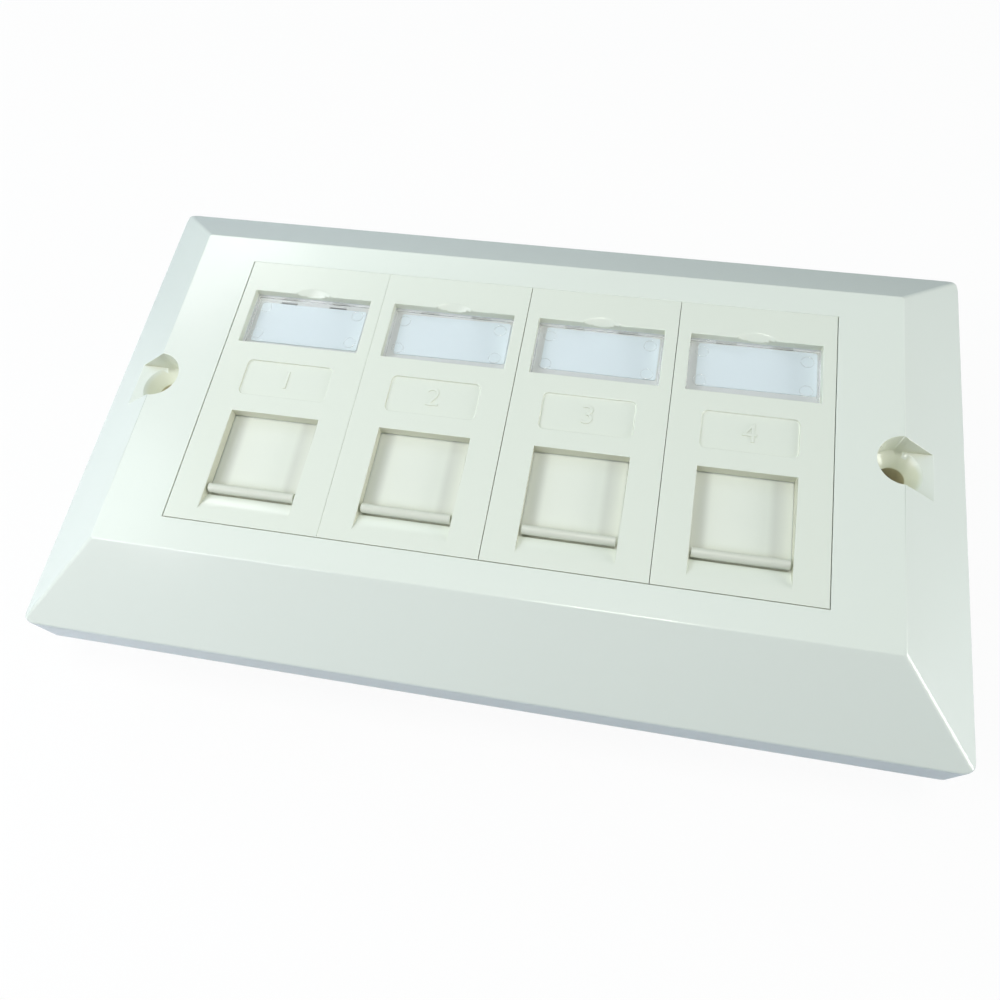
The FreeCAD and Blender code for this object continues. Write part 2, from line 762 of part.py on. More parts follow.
def make_jack_carrier(port):
    body = new_body(f"jack_carrier_{port}")
    bore = "(jack_width / 2 + jack_gap)"
    prism(body, "flange", "Z", FLANGE_BACK, FLANGE_TOP, across(FLANGE_X, TUBE_LOW, "flange_top_end"))
    prism(
        body, "tube", "Z", FRAME_BACK, FLANGE_BACK,
        across(TUBE_X, TUBE_LOW, f"{POCKET_HIGH} + tube_wall"),
    )
    prism(
        body, "trough", "Z", f"{TROUGH_FLOOR} - trough_floor", FLANGE_BACK,
        rectangle(
            f"{TUBE_X} - embed", FLANGE_X,
            "ear_foot - ear_gap - trough_wall", "trough_end + trough_wall",
        ),
    )
    prism(
        body, "spring_bed", "Z", TROUGH_FLOOR, f"{FLANGE_TOP} + run_out",
        rectangle(TUBE_X, f"{FLANGE_X} + run_out", "ear_foot - ear_gap", "trough_end"), cut=True,
    )
    prism(
        body, "jack_bore", "Z", f"{FRAME_BACK} - run_out", f"{FLANGE_TOP} + run_out",
        across(bore, POCKET_LOW, POCKET_HIGH), cut=True,
    )
    prism(
        body, "catches", "Z", CATCH_BACK, CATCH_TOP,
        across(f"{bore} + embed", f"{POCKET_LOW} - embed", f"{JACK_LOW} - jack_gap"),
        across(f"{bore} + embed", f"{LATCH_HIGH} + jack_gap", f"{POCKET_HIGH} + embed"),
    )
    place(body, port)


# The shutter: a slide with a finger bar at its lower edge and an ear that works the spring.

def make_shutter(port):
    body = new_body(f"shutter_{port}")
    prism(body, "slide", "Z", SHUTTER_BACK, SHUTTER_FACE, across(SHUTTER_X, SHUTTER_LOW, SHUTTER_HIGH))
    bar_x = "(recess_width / 2 - bar_end_gap)"
    prism(
        body, "bar_web", "X", f"-{bar_x}", bar_x,
        rectangle(f"{BAR_Y} - bar_web / 2", f"{BAR_Y} + bar_web / 2", SHUTTER_FACE, BAR_HEIGHT),
    )
    rod(body, "bar", "X", f"-{bar_x}", bar_x, BAR_Y, BAR_HEIGHT, "bar_radius")
    inner = f"({TUBE_X} + spring_gap)"
    outer = f"({FLANGE_X} - carrier_gap)"
    prism(
        body, "ear", "Y", "ear_foot", EAR_SEAT,
        [
            (f"{SHUTTER_X} - embed", SHUTTER_BACK),
            (inner, SHUTTER_BACK),
            (inner, f"{TROUGH_FLOOR} + spring_gap"),
            (outer, f"{TROUGH_FLOOR} + spring_gap"),
            (outer, SHUTTER_FACE),
            (f"{SHUTTER_X} - embed", SHUTTER_FACE),
        ],
    )
    prism(
        body, "spring_peg", "Y", EAR_SEAT, f"{EAR_SEAT} + peg_length",
        rectangle(
            f"{SPRING_X} - peg_width / 2", f"{SPRING_X} + peg_width / 2",
            f"{SPRING_HEIGHT} - peg_width / 2", f"{SPRING_HEIGHT} + peg_width / 2",
        ),
    )
    place(body, port)


def make_shutter_spring(port):
    """A compression coil between the shutter's ear and the end of the trough.

    Its wire is three-sided and its turns are few, because a coil takes more faces than all the rest.
    """
    body = new_body(f"shutter_spring_{port}")
    sketch = new_sketch(body, "wire", "Z", "0")
    outline(
        sketch,
        [
            ("spring_radius - spring_wire", "0"),
            ("spring_radius", "spring_wire / 2"),
            ("spring_radius - spring_wire", "spring_wire"),
        ],
    )
    coil = body.newObject("PartDesign::AdditiveHelix", "coil")
    coil.Profile = sketch
    coil.ReferenceAxis = (sketch, ["V_Axis"])
    coil.Mode = "height-turns-angle"
    coil.setExpression("Turns", tied("spring_turns"))
    coil.setExpression("Height", tied(f"trough_end - {EAR_SEAT} - 2 * spring_end_gap - spring_wire"))
    place(body, port, SPRING_X, f"{EAR_SEAT} + spring_end_gap", SPRING_HEIGHT)


# The label: a printed card under a clear pane that snaps into the well.

def make_label_window(port):
    body = new_body(f"label_window_{port}")
    low, high = f"({WINDOW_LOW} + pane_gap)", f"({WINDOW_HIGH} - pane_gap)"
    prism(body, "pane", "Z", WELL_FLOOR, "plate_depth - pane_inset", across(PANE_X, low, high))
    soften(body, "Chamfer", "pane_edges", "pane_chamfer", level("plate_depth - pane_inset"))
    barb = prism(
        body, "barb", "Z", f"{WELL_FLOOR} + barb_lift", f"{WELL_FLOOR} + barb_lift + barb_height",
        rectangle(
            "barb_centre - barb_width / 2", "barb_centre + barb_width / 2",
            f"{high} - embed", f"{WINDOW_HIGH} + barb_reach",
        ),
    )
    mirrored(body, "far_barb", [barb])
    prism(
        body, "card_recess", "Z", f"{WELL_FLOOR} - run_out", f"{WELL_FLOOR} + paper_thickness + paper_gap",
        across(f"{PANE_X} - pane_rim", f"{low} + pane_rim", f"{high} - pane_rim"), cut=True,
    )
    place(body, port)


def make_label_card(port):
    body = new_body(f"label_card_{port}")
    inset = "(pane_gap + pane_rim + paper_margin)"
    prism(
        body, "card", "Z", WELL_FLOOR, f"{WELL_FLOOR} + paper_thickness",
        across(f"window_width / 2 - {inset}", f"{WINDOW_LOW} + {inset}", f"{WINDOW_HIGH} - {inset}"),
    )
    place(body, port)


# The jack: a housing with a fixed hook below, a sprung latch above and the plug's socket.

def add_latch(body):
    root_top = f"({JACK_FACE} - latch_setback)"
    root_back = f"({root_top} - latch_root)"
    ridge = f"({CATCH_TOP} + catch_gap)"
    stop = f"({CATCH_BACK} - catch_gap)"
    tip = f"({LATCH_HIGH} + latch_reach)"
    tail = f"({JACK_FACE} - latch_tail)"
    prism(
        body, "latch", "X", "-latch_width / 2", "latch_width / 2",
        [
            (f"{JACK_HIGH} - embed", root_top),
            (LATCH_HIGH, root_top),
            (LATCH_HIGH, f"{ridge} + hook_height"),
            (tip, ridge),
            (LATCH_HIGH, ridge),
            (LATCH_HIGH, stop),
            (tip, stop),
            (tip, f"{stop} - shoulder_height"),
            (LATCH_HIGH, f"{stop} - shoulder_height"),
            (LATCH_HIGH, tail),
            (LATCH_LOW, tail),
            (LATCH_LOW, root_back),
            (f"{JACK_HIGH} - embed", root_back),
        ],
    )


def add_hook(body):
    ridge = f"({CATCH_TOP} + catch_gap)"
    stop = f"({CATCH_BACK} - catch_gap)"
    root = f"({JACK_LOW} + embed)"
    tip = f"({JACK_LOW} - hook_reach)"
    half = "(jack_width / 2 - hook_inset)"
    prism(
        body, "hook", "X", f"-{half}", half,
        [(root, ridge), (tip, ridge), (root, f"{ridge} + hook_height")],
        rectangle(tip, root, f"{stop} - shoulder_height", stop),
    )


def add_socket(body):
    """The plug's cavity, the stepped way for its tab and the slot that the contacts come through."""
    mouth = f"({JACK_FACE} + run_out)"
    tab_low = f"({PLUG_LOW} - tab_height)"
    prism(body, "socket", "Z", PLUG_BACK, mouth, across("plug_width / 2", PLUG_LOW, "plug_top"), cut=True)
    prism(
        body, "tab_way", "Z", PLUG_BACK, mouth,
        across("tab_width / 2", tab_low, f"{PLUG_LOW} + embed"), cut=True,
    )
    prism(
        body, "tongue_way", "Z", PLUG_BACK, mouth,
        across("tongue_width / 2", f"{tab_low} - tongue_height", f"{tab_low} + embed"), cut=True,
    )
    half = f"({CONTACTS} * contact_pitch / 2)"
    prism(
        body, "contact_slot", "Z", f"{JACK_BACK} - run_out", f"{PLUG_BACK} + run_out",
        across(half, "plug_top - contact_gap - contact_thickness - contact_slot_gap", "plug_top"), cut=True,
    )


def make_jack_housing(port):
    body = new_body(f"jack_housing_{port}")
    prism(body, "shell", "Z", JACK_BACK, JACK_FACE, across("jack_width / 2", JACK_LOW, JACK_HIGH))
    soften(body, "Chamfer", "front_edges", "jack_chamfer", level(JACK_FACE))
    add_hook(body)
    add_latch(body)
    add_socket(body)
    place(body, port)


def make_jack_contacts(port):
    """Eight bent springs that run from the board along the socket's roof and fold back down."""
    body = new_body(f"jack_contacts_{port}", groups=True)
    top = "(plug_top - contact_gap)"
    under = f"({top} - contact_thickness)"
    bend = f"({PLUG_BACK} + contact_run)"
    first = f"(-{CONTACTS - 1} * contact_pitch / 2)"
    contact = prism(
        body, "contact", "X", f"{first} - contact_width / 2", f"{first} + contact_width / 2",
        [
            (top, JACK_BACK),
            (top, bend),
            (under, f"{bend} + contact_thickness"),
            (f"{under} - contact_fall", f"{bend} - contact_back"),
            (f"{top} - contact_fall", f"{bend} - contact_back - contact_thickness / 2"),
            (under, f"{bend} - contact_fold"),
            (under, JACK_BACK),
        ],
    )
    repeated(body, "contacts", [contact], "X", CONTACTS, "contact_pitch")
    place(body, port)


def make_circuit_board(port):
    body = new_body(f"circuit_board_{port}")
    prism(
        body, "board", "Z", BOARD_BACK, JACK_BACK,
        across("jack_width / 2 - board_margin", f"{JACK_LOW} + board_margin", f"{JACK_HIGH} - board_margin"),
    )
    half = "(post_width / 2 + post_gap)"
    hole = prism(
        body, "post_hole", "Z", f"{BOARD_BACK} - run_out", f"{JACK_BACK} + run_out",
        across(half, f"{FIRST_POST} - {half}", f"{FIRST_POST} + {half}"), cut=True,
    )
    repeated(body, "post_holes", [hole], "Y", 2, "post_spacing")
    place(body, port)


# The punch-down block: two rows of slotted towers, a forked blade in each slot, and a cap.

def make_idc_block(port):
    body = new_body(f"idc_block_{port}")
    prism(
        body, "base", "Z", BLOCK_BACK, BOARD_BACK,
        across("jack_width / 2 - board_margin", f"{JACK_LOW} + board_margin", f"{JACK_HIGH} - board_margin"),
    )
    post = prism(
        body, "post", "Z", BOARD_BACK, JACK_BACK,
        across("post_width / 2", f"{FIRST_POST} - post_width / 2", f"{FIRST_POST} + post_width / 2"),
    )
    repeated(body, "posts", [post], "Y", 2, "post_spacing")
    low, high = f"({JACK_LOW} + tower_margin)", f"({JACK_HIGH} - tower_margin)"
    prism(
        body, "towers", "Z", TOWER_END, BLOCK_BACK,
        rectangle("tower_inner", TOWER_OUTER, low, high),
        rectangle(f"-{TOWER_OUTER}", "-tower_inner", low, high),
    )
    wire_way = prism(
        body, "wire_way", "Z", f"{TOWER_END} - run_out", f"{TOWER_END} + idc_slot_depth",
        across(f"{TOWER_OUTER} + run_out", f"{FIRST_SLOT} - idc_slot / 2", f"{FIRST_SLOT} + idc_slot / 2"),
        cut=True,
    )
    half_x = "(blade_thickness / 2 + blade_gap)"
    half_y = "(blade_width / 2 + blade_gap)"
    y_low, y_high = f"{FIRST_SLOT} - {half_y}", f"{FIRST_SLOT} + {half_y}"
    blade_way = prism(
        body, "blade_way", "Z", f"{TOWER_END} - run_out", f"{BOARD_BACK} + run_out",
        rectangle(f"{BLADE_X} - {half_x}", f"{BLADE_X} + {half_x}", y_low, y_high),
        rectangle(f"-{BLADE_X} - {half_x}", f"{half_x} - {BLADE_X}", y_low, y_high),
        cut=True,
    )
    repeated(body, "slots", [wire_way, blade_way], "Y", IDC_PER_ROW, "idc_pitch")
    place(body, port)


def make_idc_blades(port):
    body = new_body(f"idc_blades_{port}", groups=True)
    half, slit = "blade_width / 2", "blade_slit / 2"
    slit_foot = f"({BLADE_END} + blade_slit_depth)"
    fork = [
        (f"{FIRST_SLOT} - {half}", BOARD_BACK),
        (f"{FIRST_SLOT} - {half}", BLADE_END),
        (f"{FIRST_SLOT} - {slit}", BLADE_END),
        (f"{FIRST_SLOT} - {slit}", slit_foot),
        (f"{FIRST_SLOT} + {slit}", slit_foot),
        (f"{FIRST_SLOT} + {slit}", BLADE_END),
        (f"{FIRST_SLOT} + {half}", BLADE_END),
        (f"{FIRST_SLOT} + {half}", BOARD_BACK),
    ]
    blades = [
        prism(body, name, "X", f"{centre} - blade_thickness / 2", f"{centre} + blade_thickness / 2", fork)
        for name, centre in (("right_blade", BLADE_X), ("left_blade", f"-{BLADE_X}"))
    ]
    repeated(body, "blades", blades, "Y", IDC_PER_ROW, "idc_pitch")
    place(body, port)


def make_dust_cap(port):
    body = new_body(f"dust_cap_{port}")
    prism(body, "cap", "Z", CAP_END, CAP_MOUTH, across("jack_width / 2", JACK_LOW, JACK_HIGH))
    soften(body, "Chamfer", "end_edges", "cap_chamfer", level(CAP_END))
    prism(
        body, "hollow", "Z", CAP_INSIDE, f"{CAP_MOUTH} + run_out",
        across("jack_width / 2 - cap_wall", f"{JACK_LOW} + cap_wall", f"{JACK_HIGH} - cap_wall"), cut=True,
    )
    prism(
        body, "cable_notch", "Y", f"{JACK_HIGH} - cap_wall - run_out", f"{JACK_HIGH} + run_out",
        across("cable_notch / 2", f"{CAP_MOUTH} - cable_notch_depth", f"{CAP_MOUTH} + run_out"), cut=True,
    )
    place(body, port)


MODULE_PIECES = (
    make_module_frame,
    make_jack_carrier,
    make_shutter,
    make_shutter_spring,
    make_label_window,
    make_label_card,
    make_jack_housing,
    make_jack_contacts,
    make_circuit_board,
    make_idc_block,
    make_idc_blades,
    make_dust_cap,
)

CUTS = ("PartDesign::Pocket", "PartDesign::Groove", "PartDesign::SubtractiveSphere")


def check_features():
    """Stops at a failed object, and at a cut that removes nothing."""
    for item in doc.Objects:
        if {"Invalid", "Error"} & set(item.State):
            raise RuntimeError(f"{item.Label} failed: {item.State}")
        if item.TypeId in CUTS and item.Shape.Volume > item.BaseFeature.Shape.Volume - SAME_VOLUME:
            raise RuntimeError(f"{item.Label} cuts nothing")


def write_parts():
    os.makedirs("parts", exist_ok=True)
    for body in doc.findObjects("PartDesign::Body"):
        shape = body.Shape
        if shape.isNull() or not shape.isValid():
            raise RuntimeError(f"{body.Label} has no sound shape")
        shape.exportStep(os.path.join("parts", body.Label + ".step"))
        print(f"{body.Label}: {len(shape.Solids)} solid, {shape.Volume:.1f} cubic mm")


make_faceplate()
for port in range(1, MODULES + 1):
    for make_piece in MODULE_PIECES:
        make_piece(port)
doc.recompute()
check_features()
write_parts()
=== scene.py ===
# %% [markdown]
# # A data faceplate with four shuttered jacks
#
# The object is a double-width moulded wall plate for network sockets. Four narrow modules snap
# into its opening, and each one carries a clear label window, a shallow numbered recess and a
# sprung shutter that hides a jack. The solids come from the CAD model. This lesson dresses them:
# it rounds the moulded edges, winds the springs, bends the contact wires and mixes the plastics.

# %% Load the solids
import math

import bmesh
import bpy
from mathutils import Matrix, Vector
from mathutils.bvhtree import BVHTree


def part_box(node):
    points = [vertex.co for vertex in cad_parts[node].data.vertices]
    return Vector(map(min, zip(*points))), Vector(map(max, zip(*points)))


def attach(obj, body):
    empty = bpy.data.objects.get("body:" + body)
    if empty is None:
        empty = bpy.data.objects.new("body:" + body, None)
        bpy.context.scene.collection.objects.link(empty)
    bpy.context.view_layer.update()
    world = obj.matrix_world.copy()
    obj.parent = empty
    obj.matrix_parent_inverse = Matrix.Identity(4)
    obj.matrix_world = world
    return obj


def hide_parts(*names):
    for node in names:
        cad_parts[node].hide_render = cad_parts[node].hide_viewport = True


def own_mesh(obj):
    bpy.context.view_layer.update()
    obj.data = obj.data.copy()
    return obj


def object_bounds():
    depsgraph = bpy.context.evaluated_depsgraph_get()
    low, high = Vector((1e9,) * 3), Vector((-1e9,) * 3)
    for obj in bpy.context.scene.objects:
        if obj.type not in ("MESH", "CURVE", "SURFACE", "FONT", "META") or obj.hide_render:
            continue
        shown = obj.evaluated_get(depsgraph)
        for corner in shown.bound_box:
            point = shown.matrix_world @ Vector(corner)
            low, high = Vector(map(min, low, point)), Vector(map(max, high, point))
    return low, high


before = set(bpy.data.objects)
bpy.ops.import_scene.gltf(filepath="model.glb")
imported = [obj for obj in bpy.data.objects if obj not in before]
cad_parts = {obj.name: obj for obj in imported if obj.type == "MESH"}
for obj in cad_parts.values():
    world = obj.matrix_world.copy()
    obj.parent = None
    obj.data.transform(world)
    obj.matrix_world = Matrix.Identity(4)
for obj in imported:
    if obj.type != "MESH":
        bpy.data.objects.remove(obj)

solid_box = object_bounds()
MM = 0.001
PORTS = (1, 2, 3, 4)
print("solids", len(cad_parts), "from", solid_box[0], "to", solid_box[1])

# %% [markdown]
# ## Where the camera stands
#
# The photograph was taken close to the plate, from above and a little in front of it. The place
# and the lens below were worked out from the corners of the plate and of the modules, so that
# the plate's long lines run together in the picture as they do in the photograph.

# %% The camera
viewpoint = bpy.data.objects.new("viewpoint", bpy.data.cameras.new("viewpoint"))
bpy.context.collection.objects.link(viewpoint)
viewpoint.location = (0.0187493, -0.0649222, 0.1240001)
viewpoint.rotation_euler = [math.radians(turn) for turn in (21.9754, 3.8924, 9.9885)]
viewpoint.data.lens = 28.4436
viewpoint.data.sensor_width = 36
viewpoint.data.shift_x = -0.00672
viewpoint.data.shift_y = 0.05305
viewpoint.data.clip_start = 0.01
bpy.context.scene.camera = viewpoint
bpy.context.scene.view_settings.view_transform = "Standard"
print("camera", round(viewpoint.location.length, 3), "m from the plate")

# %% [markdown]
# ## Small helpers for node trees
#
# Shaders and Geometry Nodes are both trees of nodes with links between their sockets. The first
# helper adds a node and fills its sockets in a single call. The others add the steps that come
# back often: sums, mapped ranges, blends and noise. The last one opens a named group with its
# inputs and outputs, so that every tree below reads as a list of steps.

# %% Helpers for trees
def step(tree, kind, fill=None, **settings):
    """Add a node, set it up, and give its inputs a value or a link."""
    node = tree.nodes.new(kind)
    for name, setting in settings.items():
        setattr(node, name, setting)
    for socket, source in (fill or {}).items():
        if isinstance(source, bpy.types.NodeSocket):
            tree.links.new(source, node.inputs[socket])
        else:
            node.inputs[socket].default_value = source
    return node


def sums(tree, operation, *terms, clamp=False):
    """A maths step; returns its output socket."""
    fill = dict(enumerate(terms))
    return step(tree, "ShaderNodeMath", fill, operation=operation, use_clamp=clamp).outputs[0]


def ranged(tree, value, low, high, to_low=0.0, to_high=1.0, kind="LINEAR"):
    """A value mapped from one range to another and held at its ends; returns its output socket."""
    fill = {"Value": value, "From Min": low, "From Max": high, "To Min": to_low, "To Max": to_high}
    return step(tree, "ShaderNodeMapRange", fill, interpolation_type=kind).outputs[0]


def blended(tree, share, first, second, kind="MIX"):
    """A share of the way from one colour to another; returns the colour's socket."""
    ends = (end if isinstance(end, bpy.types.NodeSocket) else (*end, 1) for end in (first, second))
    fill = {0: share, **dict(zip((6, 7), ends))}
    return step(tree, "ShaderNodeMix", fill, data_type="RGBA", blend_type=kind).outputs[2]


def shader_mix(tree, share, first, second):
    """A share of the way from one shader to another; returns the shader's socket."""
    return step(tree, "ShaderNodeMixShader", {0: share, 1: first, 2: second}).outputs[0]


def noise(tree, place, scale, detail):
    """Noise on a place; returns its value socket."""
    fill = {"Vector": place, "Scale": scale, "Detail": detail}
    return step(tree, "ShaderNodeTexNoise", fill).outputs["Fac"]


def new_material(name):
    """A material with nodes; returns it with its tree and its Principled shader."""
    made = bpy.data.materials.new(name)
    made.use_nodes = True
    return made, made.node_tree, made.node_tree.nodes["Principled BSDF"]


def bumped(tree, shader, height, distance):
    """Give a shader's surface a small relief, its height in metres."""
    bump = step(tree, "ShaderNodeBump", {"Height": height, "Distance": distance, "Strength": 1.0})
    tree.links.new(bump.outputs[0], shader.inputs["Normal"])


def times(tree, *factors):
    """The product of two or more factors; returns its output socket."""
    product = factors[0]
    for factor in factors[1:]:
        product = sums(tree, "MULTIPLY", product, factor)
    return product


def object_place(tree):
    """The three Object coordinates of the point that is shaded, in metres."""
    place = step(tree, "ShaderNodeTexCoord").outputs["Object"]
    return step(tree, "ShaderNodeSeparateXYZ", {0: place}).outputs


def steepness(tree):
    """The size of the normal's Z part: 1 on a level face and 0 on an upright wall."""
    normal = step(tree, "ShaderNodeNewGeometry").outputs["Normal"]
    return sums(tree, "ABSOLUTE", step(tree, "ShaderNodeSeparateXYZ", {0: normal}).outputs[2])


def open_group(name, kind, inputs, outputs):
    """A node group with named inputs and outputs; returns it with its two end nodes."""
    tree = bpy.data.node_groups.new(name, kind)
    for label, (socket, value) in inputs.items():
        made = tree.interface.new_socket(label, in_out="INPUT", socket_type=socket)
        if value is not None:
            made.default_value = value
    for label, socket in outputs.items():
        tree.interface.new_socket(label, in_out="OUTPUT", socket_type=socket)
    return tree, tree.nodes.new("NodeGroupInput").outputs, tree.nodes.new("NodeGroupOutput")


# %% [markdown]
# ## The moulded skin
#
# Glossy white plastic looks dull in a render when it is perfectly flat. A real moulding swells a
# little over its ribs, takes a fine grain from the tool, and its gloss changes where hands have
# touched it. One group puts out those three patterns, so that every plastic below can use them
# in its own amounts. Painted textures could do this too, but noise on Object coordinates needs
# no map and keeps its real size on a large plate and a small cap alike.

# %% The skin group
skin, given, results = open_group(
    "moulded skin",
    "ShaderNodeTree",
    {
        "Swells per metre": ("NodeSocketFloat", 110.0),
        "Grains per metre": ("NodeSocketFloat", 5200.0),
        "Grain share": ("NodeSocketFloat", 0.25),
    },
    {"Height": "NodeSocketFloat", "Touch": "NodeSocketFloat", "Tone": "NodeSocketFloat"},
)
place = step(skin, "ShaderNodeTexCoord").outputs["Object"]
swell = noise(skin, place, given["Swells per metre"], 1.0)
grain = noise(skin, place, given["Grains per metre"], 2.0)
height = sums(skin, "MULTIPLY_ADD", grain, given["Grain share"], swell)
skin.links.new(height, results.inputs["Height"])
skin.links.new(noise(skin, place, 65.0, 2.0), results.inputs["Touch"])
skin.links.new(noise(skin, place, 28.0, 2.0), results.inputs["Tone"])
print("skin group", len(skin.nodes), "nodes")


# %% [markdown]
# ## Moulded plastics
#
# All the white parts are the same family of plastic, but not the same white: the plate is the
# coolest and glossiest, the modules are creamier, and the shutters are a little more satin. One
# function makes the whole family. Light that has passed through this plastic comes out warm, so
# the shade in its hollows is warm too, and two steps paint that shade into the colour where the
# part closes itself in: a wide one paints the walls of a recess a beige shade, and a narrow one
# paints the inner corners and the seams an olive-brown shade. Both look only at the part's own
# walls, or a clear pane would count as a cover too. A part may add painted shade of its own: two
# soft painted shadow bands on a shutter's plate, a warm painted shade on a module's upright walls
# and a grey one under its pane, and a painted shade in the screw seats, beige on the cone and
# brown down the hole.

# %% Tints and painted shade of the plastic
# Painted shade for the walls of recesses.
PAINTED_RECESS_SHADE = (0.80, 0.775, 0.69)
# Painted shade for inner corners and seams.
PAINTED_CREVICE_SHADE = (0.52, 0.49, 0.36)
# Painted warm shade for a module's upright walls.
PAINTED_WALL_SHADE = (0.86, 0.82, 0.735)
# Painted grey shade for what lies under a pane.
PAINTED_PANE_SHADE = (0.91, 0.87, 0.97)
BAR = (0.85, 0.84, 0.82)
# Painted shadow for two soft bands on each shutter panel.
PAINTED_BAND_SHADE = (0.60, 0.62, 0.565)
# Painted shade for the screw seats' cones.
PAINTED_CONE_SHADE = (0.97, 0.945, 0.86)
# Painted shade for deep down the screw holes.
PAINTED_HOLE_SHADE = (0.98, 0.84, 0.64)
PITCH = 25 * MM
CORNER_REACH = 2.6 * MM
SEAM_REACH = 0.45 * MM


def shaded(tree, colour, distance, least, most, tint):
    """Paint shade into a colour where the part closes itself in within a distance; returns the new
    colour.
    """
    open_sky = step(
        tree, "ShaderNodeAmbientOcclusion", {"Distance": distance}, samples=8, only_local=True
    ).outputs["AO"]
    shade_cover = blended(tree, ranged(tree, open_sky, least, most), tint, (1, 1, 1))
    return blended(tree, 1.0, colour, shade_cover, "MULTIPLY")


def side_bands(tree, colour):
    """Dim a shutter's bar, and paint two soft shadow bands on its panel that are darkest at their
    inner side.
    """
    across, along, height = object_place(tree)
    bar_foot, panel_foot, shift = 14.9 * MM, -18.1 * MM, 0.4 * MM
    colour = blended(tree, sums(tree, "GREATER_THAN", height, bar_foot), colour, BAR, "MULTIPLY")
    shifted = sums(tree, "ADD", across, PITCH / 2 + shift)
    port_place = sums(tree, "WRAP", shifted, PITCH / 2, -PITCH / 2)
    from_middle = sums(tree, "ABSOLUTE", port_place)
    edge = ranged(tree, from_middle, 4.0 * MM, 5.4 * MM, kind="SMOOTHSTEP")
    fading = ranged(tree, from_middle, 5.4 * MM, 7.5 * MM, 1.0, 0.6)
    panel = sums(tree, "GREATER_THAN", along, panel_foot)
    # Painted shadow: two soft bands on the panel, darkest at their inner side.
    return blended(tree, times(tree, edge, fading, times(tree, panel, 0.6)), colour, PAINTED_BAND_SHADE)


def wall_tint(tree, colour):
    """Paint a warm shade on a module's upright walls, and a grey shade on what lies under a pane.
    """
    along, height = object_place(tree)[1:]
    pane_face, well_start = 15.3 * MM, 8 * MM
    at_window = ranged(tree, height, pane_face, pane_face + 0.15 * MM, 0.0, 0.6)
    strength = ranged(tree, along, 0.0, 6 * MM, 1.0, at_window)
    upright = ranged(tree, steepness(tree), 0.75, 0.3, 0.0, strength)
    # Painted warm shade on the upright walls, weaker at the window.
    wall_shaded = blended(tree, upright, colour, PAINTED_WALL_SHADE, "MULTIPLY")
    below = sums(tree, "LESS_THAN", height, pane_face)
    covered = times(tree, below, sums(tree, "GREATER_THAN", along, well_start))
    # Painted grey shade on what lies under the pane.
    return blended(tree, covered, wall_shaded, PAINTED_PANE_SHADE, "MULTIPLY")


def seat_tint(tree, colour):
    """Paint shade on the walls of the two screw seats: beige on the cone and brown down the hole.
    """
    across, along, height = (sums(tree, "ABSOLUTE", axis) for axis in object_place(tree))
    reach, inner, outer = 4.3 * MM, 55 * MM, 68 * MM
    sloping = ranged(tree, steepness(tree), 0.79, 0.72)
    beside = sums(tree, "LESS_THAN", along, reach)
    within_outer = sums(tree, "LESS_THAN", across, outer)
    past_inner = sums(tree, "GREATER_THAN", across, inner)
    near = times(tree, beside, within_outer, past_inner)
    # Painted shade: beige on the cone, turning brown down the hole.
    tint = blended(tree, ranged(tree, height, 9.9 * MM, 10.3 * MM), PAINTED_HOLE_SHADE, PAINTED_CONE_SHADE)
    return blended(tree, times(tree, sloping, near), colour, tint, "MULTIPLY")


print("tints", PAINTED_RECESS_SHADE, PAINTED_CREVICE_SHADE, PAINTED_WALL_SHADE, PAINTED_PANE_SHADE)


# %% The plastic family
def plastic(name, colour, second, gloss, height=2.0e-6, grain=0.25, tint=None, shade_cover=(0.45, 0.85)):
    """A moulded plastic: two near whites, its painted shade, its roughness and its skin."""
    made, tree, shader = new_material(name)
    surface = step(tree, "ShaderNodeGroup", {"Grain share": grain}, node_tree=skin)
    whites = blended(tree, surface.outputs["Tone"], colour, second)
    if tint:
        whites = tint(tree, whites)
    # Painted shade: beige where the part closes in widely, olive brown in corners and seams.
    recess_shaded = shaded(tree, whites, CORNER_REACH, *shade_cover, PAINTED_RECESS_SHADE)
    crevice_shaded = shaded(tree, recess_shaded, SEAM_REACH, 0.12, 0.5, PAINTED_CREVICE_SHADE)
    tree.links.new(crevice_shaded, shader.inputs["Base Color"])
    rough = ranged(tree, surface.outputs["Touch"], 0.3, 0.7, gloss * 0.92, gloss * 1.1)
    tree.links.new(rough, shader.inputs["Roughness"])
    bumped(tree, shader, surface.outputs["Height"], height)
    shader.inputs["IOR"].default_value = 1.5
    return made


# Every plastic gets the painted shade of recesses and seams; the plate adds painted shade in its
# screw seats, the modules take less recess shade and add painted shade on walls and under panes,
# and the shutters add painted shadow bands.
plate_white = plastic(
    "polished plate white", (0.81, 0.865, 0.80), (0.80, 0.85, 0.785), 0.16, tint=seat_tint
)
module_cream = plastic(
    "module cream", (0.80, 0.85, 0.765), (0.79, 0.835, 0.75), 0.2, tint=wall_tint, shade_cover=(0.15, 0.5)
)
shutter_cream = plastic(
    "satin shutter cream", (0.82, 0.86, 0.775), (0.81, 0.85, 0.765), 0.34,
    grain=0.5, tint=side_bands,
)
jack_white = plastic("jack white", (0.74, 0.76, 0.71), (0.72, 0.74, 0.69), 0.38, grain=0.5)
block_white = plastic(
    "punch-down block white", (0.62, 0.64, 0.61), (0.60, 0.62, 0.59), 0.45, grain=0.8
)
cap_grey = plastic("dust cap grey", (0.66, 0.69, 0.69), (0.64, 0.67, 0.67), 0.34, grain=0.4)
print("plastics", [made.name for made in (plate_white, module_cream, shutter_cream, jack_white)])


# %% [markdown]
# ## Clear acrylic and card
#
# The label panes are thick clear acrylic, so they bend what lies behind them and show grey-brown
# at their edges. Glass stops a lamp's rays in the renderer, which would leave the card behind it
# in the dark. A Light Path node lets shadow rays pass, as thin clear plastic does.

